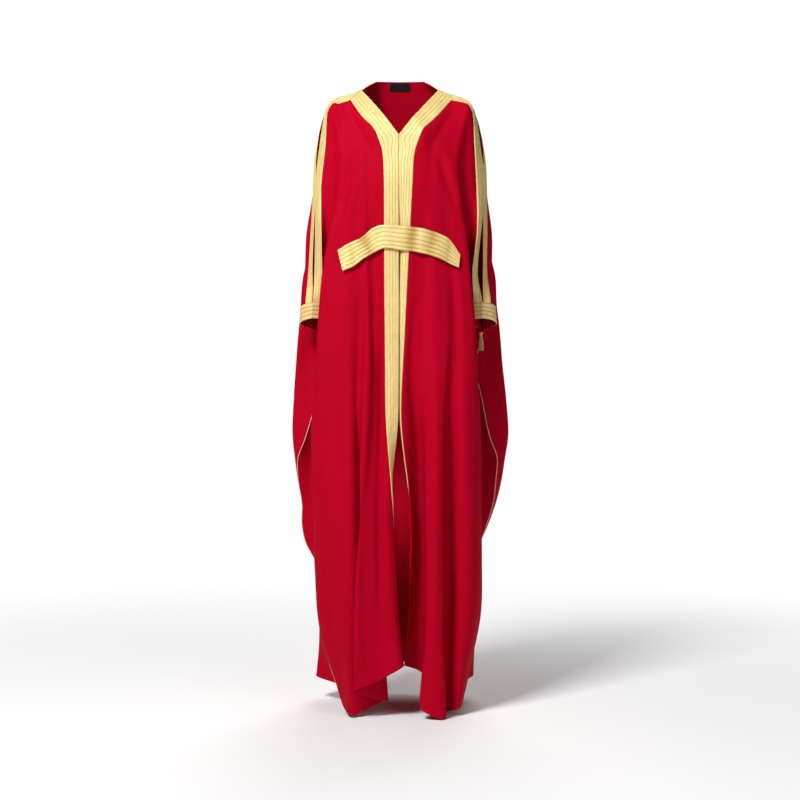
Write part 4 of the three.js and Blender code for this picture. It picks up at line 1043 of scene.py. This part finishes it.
def ringGrid(front, back, rows):
    # Round the sleeve between two rows: the front from beside the pit to its slit, then the back to
    # the pit.
    beside, cells = wristTape["besidePit"], (wristTape["acrossCells"], wristTape["aroundCells"])
    frontLast, backLast = len(front["lines"]) - 1, len(back["lines"]) - 1
    parts = ((front, (front["pit"] + beside, frontLast)), (back, (backLast, back["pit"] + beside)))
    return np.concatenate([patch(fine, rows, lines, cells)[0] for fine, lines in parts], axis=1)


for side, front, back in (("left", fineLeft, fineBackLeft), ("right", fineRight, fineBackRight)):
    ring = ringGrid(front, back, (cuffRow, wristRow))
    grid, out = turned(ring, outward(ring, front["turn"]))
    name = f"cuff_{side}"
    braids[side].append(addBraid(name, (name,), grid, out, -front["turn"], wristTape))
print("wrists")

# Belt.
beltSettings = {
    # x, and the depth of both edges there.
    "ends": {-143: (391, 440), -118: (376, 429), -90: (363, 410), -62: (341, 395), -40: (334, 388),
             0: (336, 393), 56: (343, 401), 88: (353, 411), 118: (371, 424), 138: (401, 432)},
    "slant": (13, 3),
    "middle": -2.5,                # where it passes from the right front to the left
    "stations": 170, "cells": 54, "bridging": 110,
    "samples": (70, 160, 240),     # of the fronts under it: rows, lines and places across
    "fullness": 0.45,              # how much less a dent goes in at the edges than in the middle
}
beltTape = {**tape, "near": 3.1, "far": 4.8, "grooves": (0.14, 0.32, 0.5, 0.68, 0.86), "grooveDepth": 0.85,
            "tone": 0.6, "edges": (0.045, 0.045), "stitchRows": (0.14, 0.32, 0.5, 0.68, 0.86)}
# Soft dents across the belt: x at its upper and at its lower edge, depth and width, and the painted shade in
# it, which is negative for less painted shade on a bump.
beltDents = (
    {"top": -88, "bottom": -68, "height": -4.0, "width": 12, "shade": 0.6},
    {"top": -66, "bottom": -52, "height": 1.8, "width": 8, "shade": -0.1},
    {"top": -118, "bottom": -106, "height": -1.4, "width": 6, "shade": 0.25},
    {"top": 30, "bottom": 24, "height": -3.4, "width": 13, "shade": 0.7},
    {"top": 52, "bottom": 50, "height": 1.6, "width": 7, "shade": -0.1},
    {"top": 76, "bottom": 71, "height": -3.4, "width": 12, "shade": 0.65},
    {"top": 116, "bottom": 108, "height": -1.6, "width": 8, "shade": 0.3},
)


def heightsUnder(fine, x, z):
    # y of a front at places x and z, from rows of points whose x runs one way.
    rows, lines, places = beltSettings["samples"]
    surface = patch(fine, (rowNumbers[0], wristRow), (0, fine["pit"] - 2), (rows, lines))[0]
    order = fine["turn"]
    samples = np.linspace(x.min(), x.max(), places)
    atX = np.array([[np.interp(samples * order, row[:, 0] * order, row[:, k]) for k in (1, 2)]
                    for row in surface])
    place = np.clip((x - samples[0]) / (samples[1] - samples[0]), 0, len(samples) - 1.001)
    low = place.astype(int)
    columns = atX[:, :, low] + (atX[:, :, low + 1] - atX[:, :, low]) * (place - low)
    row = np.clip((columns[:, 1] > z).sum(axis=0) - 1, 0, len(surface) - 2)
    pick = np.arange(row.size)
    upper, lower = columns[row, :, pick], columns[row + 1, :, pick]
    part = np.clip((upper[:, 1] - z) / (upper[:, 1] - lower[:, 1]), 0, 1)
    return upper[:, 0] + (lower[:, 0] - upper[:, 0]) * part


def beltGrid():
    # The belt's own x and z, and its y from the fronts, drawn straight over their hollows.
    xs = np.array(list(beltSettings["ends"]), float)
    edges = np.array(list(beltSettings["ends"].values()), float)
    share = spread(0, 1, beltSettings["stations"])
    start = xs[0] + (xs[-1] - xs[0]) * share
    heights = through(xs, edges, start)
    down = spread(0, 1, beltSettings["cells"])[:, None]
    x = start + down * (beltSettings["slant"][0] * (1 - share) - beltSettings["slant"][1] * share)
    z = -(heights[:, 0] + (heights[:, 1] - heights[:, 0]) * down)
    y = np.zeros(x.shape)
    isRight = x < beltSettings["middle"]
    for fine, isHere in ((fineRight, isRight), (fineLeft, ~isRight)):
        y[isHere] = heightsUnder(fine, x[isHere], z[isHere])
    for _ in range(beltSettings["bridging"]):
        y[:, 1:-1] = np.minimum(y[:, 1:-1], (y[:, :-2] + y[:, 2:]) / 2)
    return np.stack([x, y, z], -1), down


def dentedBelt():
    # Each dent, and its painted shade, fades with the distance from its line between the two edges.
    grid, down = beltGrid()
    out = outward(grid, 1)
    lift, shade = np.zeros(grid.shape[:2]), np.zeros(grid.shape[:2])
    for dent in beltDents:
        middle = dent["top"] + (dent["bottom"] - dent["top"]) * down
        near = np.exp(-((grid[..., 0] - middle) / dent["width"]) ** 2)
        fullness = 1 - beltSettings["fullness"] * (1 - np.sin(np.pi * down))
        lift += dent["height"] * near * fullness
        shade += dent["shade"] * near
    deepest = min(dent["height"] for dent in beltDents)
    grid = grid + out * (lift - deepest)[..., None]
    return grid, outward(grid, 1), shade


grid, out, shade = dentedBelt()
grid, out = turned(grid, out)
addBraid("belt", ("belt",), grid, out, -1, beltTape, shade.T)
print("belt")

def closedRings(rings, turn):
    # Rings of points as a closed surface whose first and last ring are each one point.
    index = np.arange(rings.shape[0] * rings.shape[1]).reshape(rings.shape[:2])
    index[0], index[-1] = index[0, 0], index[-1, 0]
    triangles = ringTriangles(index)
    isWhole = (triangles != np.roll(triangles, 1, axis=1)).all(axis=1)
    return rings.reshape(-1, 3), triangles[isWhole][:, ::turn]


def ringTriangles(index):
    # Two triangles for each cell between one ring of points and the next.
    following = np.roll(index, -1, axis=-1)
    corners = [index[..., :-1, :], following[..., :-1, :], following[..., 1:, :], index[..., 1:, :]]
    quads = np.stack(corners, -1).reshape(-1, 4)
    return np.concatenate([quads[:, [0, 1, 2]], quads[:, [0, 2, 3]]])


# Stitches.
stitch = {
    "length": 1.9, "width": 0.75, "height": 0.42, "sink": 0.12,
    # Place along its length and share of its width, from tip to tip.
    "swell": ((-0.5, 0), (-0.275, 0.8), (0, 1), (0.275, 0.8), (0.5, 0)),
}


def addStitchMesh(name, places):
    # Each stitch is a small lozenge: three rings of four points between two tips.
    at, ahead, normal = (np.concatenate([place[k] for place in places]) for k in range(3))
    side = unit(np.cross(normal, ahead))
    run, swell = np.array(stitch["swell"]).T[..., None]
    angle = np.arange(4) * np.pi / 2 + np.pi / 4
    aside, up = swell * np.cos(angle) * stitch["width"] / 2, swell * np.sin(angle) * stitch["height"]
    rings = np.stack([run * stitch["length"] + 0 * angle, aside, up], -1)
    local, triangles = closedRings(rings, 1)
    frames = np.stack([ahead, side, normal], 1)
    points = at[:, None] + (local + [0, 0, stitch["sink"]]) @ frames
    triangles = triangles + (np.arange(len(at)) * len(local))[:, None, None]
    return finish(addMesh(name, points.reshape(-1, 3), triangles.reshape(-1, 3), stitchThread, sharp=180),
                  "gold_braid")


addStitchMesh("stitching", stitchPlaces)
print("stitches", sum(len(place[0]) for place in stitchPlaces))

# Piping.
def tubeOf(path, radius, sides, twist=0.0, pitch=3.0):
    # Rings of points square to a path; with a twist, two plies wind round each other.
    tangent = unit(np.gradient(path, axis=0))
    side = unit(np.cross(tangent, [0, 1, 0]))
    up = np.cross(side, tangent)
    angle = np.linspace(0, 2 * np.pi, sides, endpoint=False)
    wind = 2 * angle - 2 * np.pi * lengthsAlong(path)[:, None] / pitch
    reach = radius * (1 + twist * np.cos(wind))
    rings = path[:, None] + reach[..., None] * (np.cos(angle)[:, None] * side[:, None]
                                                + np.sin(angle)[:, None] * up[:, None])
    ends = path[[0, -1], None] + np.zeros((1, sides, 1))
    return closedRings(np.concatenate([ends[:1], rings, ends[1:]]), -1)


def evenly(path, step):
    # The same path with its points a step apart.
    lengths = lengthsAlong(path)
    return placesOn(path, lengths, np.linspace(0, lengths[-1], int(lengths[-1] / step)))


piping = {"radius": 0.85, "step": 0.9, "sides": 10, "twist": 0.1}


def seamPath(panel):
    # The line that both panels of a side share, from below the wrist to the hem.
    v = spread(wristRow + 1, lastRow, 300)
    return linePoints(panel["lines"][panel["pit"]], v)


for side, panel in (("left", frontLeft), ("right", frontRight)):
    path = evenly(seamPath(panel), piping["step"])
    points, triangles = tubeOf(path, piping["radius"], piping["sides"], piping["twist"])
    name = f"side_piping_{side}"
    finish(addMesh(name, points, triangles, pipingThread, sharp=180), "gold_piping", name)
print("piping")

# Neck label: plain black tape.
label = {"top": 0.16, "bottom": 1.24, "half": 0.72, "near": -1.9, "far": -1.1, "cells": (14, 24)}


def addLabel():
    # A shell behind the inner side of the back, across the middle of the neck.
    grid, out = patch(fineBackLeft, (label["top"], label["bottom"]), (-label["half"], label["half"]),
                      label["cells"])
    points, faces = shellOf(grid, out, label["near"], label["far"], -1)
    uv = np.tile(lengthsOf(grid).reshape(-1, 2), (2, 1))
    return finish(addMesh("neck_label", points, faces, satin, uv), "black_label", "neck_label")


addLabel()
print("label")

# Tassels.
tassel = {
    "places": {"left": ((196, 31, -582), (199.2, 44.8)), "right": ((-192, 31, -582), (-199.2, 44.8))},
    "strands": 110, "steps": 12, "length": 37, "packed": 2.6, "spread": 7.2,
    "radius": 0.36, "cordRadius": 0.9, "cordSag": 3.2, "cordFoot": 7.4, "cordTop": 7.3,
    "belly": 0.5, "flare": 0.8, "sway": 0.12, "shortest": 0.93, "tuck": 0.6,
    "seeds": {"left": 7, "right": 11},
    # The head's outline as radius and height above the skirt.
    "head": ((0, -0.5), (3.3, -0.2), (3.5, 0.7), (3.2, 1.3), (3.7, 2), (4.5, 3.4), (4.7, 4.8), (4.2, 6.3),
             (2.8, 7.6), (1.6, 8.1), (0, 8.3)),
}


def tasselHead(sides=32, cells=4):
    # The outline turned round, with fine wound threads as ridges.
    outline = np.array(tassel["head"], float)
    t = spread(0, len(outline) - 1, (len(outline) - 1) * cells)
    profile = along(np.column_stack([outline, np.zeros(len(outline))]), t)
    angle = np.linspace(0, 2 * np.pi, sides, endpoint=False)
    radius = profile[:, :1] * (1 + 0.02 * np.cos(angle * 16)[None])
    points = np.stack([radius * np.cos(angle), radius * np.sin(angle),
                       np.broadcast_to(profile[:, 1:2], radius.shape)], -1)
    return closedRings(points, 1)


def tasselStrands(seed):
    # Threads that start packed inside the head, spread as they fall and sway a little.
    random = np.random.default_rng(seed)
    count, steps = tassel["strands"], tassel["steps"]
    angle = random.uniform(0, 2 * np.pi, count)[:, None]
    ring = np.sqrt(random.uniform(0, 1, count))[:, None]
    t = np.linspace(0, 1, steps)[None]
    packed, tuck = tassel["packed"], tassel["tuck"]
    radius = ring * (packed + (tassel["spread"] - packed) * t ** tassel["flare"]
                     + tassel["belly"] * np.sin(np.pi * t))
    turn = angle + random.normal(0, tassel["sway"], (count, 1)) * t
    length = tassel["length"] * random.uniform(tassel["shortest"], 1, (count, 1))
    z = tuck - (length + tuck) * t
    paths = np.stack([radius * np.cos(turn), radius * np.sin(turn), z], -1)
    sides = 3
    around = np.arange(sides) * 2 * np.pi / sides
    ringOffsets = np.stack([np.cos(around), np.sin(around), np.zeros(sides)], -1) * tassel["radius"]
    points = (paths[:, :, None] + ringOffsets).reshape(-1, 3)
    index = np.arange(count * steps * sides).reshape(count, steps, sides)
    tips = np.concatenate([index[:, 0], index[:, -1, ::-1]])
    return points, np.concatenate([ringTriangles(index)[:, ::-1], tips])


def joined(parts):
    # One list of points and one of triangles, each part's numbers following the last part's.
    counts = np.cumsum([0] + [len(points) for points, _ in parts])
    return (np.concatenate([points for points, _ in parts]),
            np.concatenate([faces + start for (_, faces), start in zip(parts, counts)]))


for side, (place, hook) in tassel["places"].items():
    end = np.array([hook[0] - place[0], hook[1] - place[1], tassel["cordTop"]])
    bends = ((0, 0, tassel["cordFoot"]), tuple(end * 0.5 + (0, 0, tassel["cordSag"])), tuple(end))
    cord = tubeOf(through((0, 0.5, 1), bends, spread(0, 1, 24)), tassel["cordRadius"], 8, piping["twist"])
    parts = [tasselHead(), tasselStrands(tassel["seeds"][side]), cord]
    points, triangles = joined(parts)
    name = f"tassel_{side}"
    finish(addMesh(name, points + place, triangles, tasselThread, sharp=80), "gold_tassel", name)
print("tassels")

# Floor.
def addFloor():
    # A flat sheet a little under the lowest hem.
    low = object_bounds()[0][2] - view["floorDrop"]
    side = view["floorSize"] / 2
    grid = np.stack(np.meshgrid(spread(-side, side, 8), spread(-side, side, 8), indexing="ij"), -1) * 1000
    points = np.concatenate([grid, np.full(grid.shape[:2] + (1,), low * 1000)], -1).reshape(-1, 3)
    floor = addMesh("floor", points, gridQuads(9, 9, -1), palePaper())


addFloor()
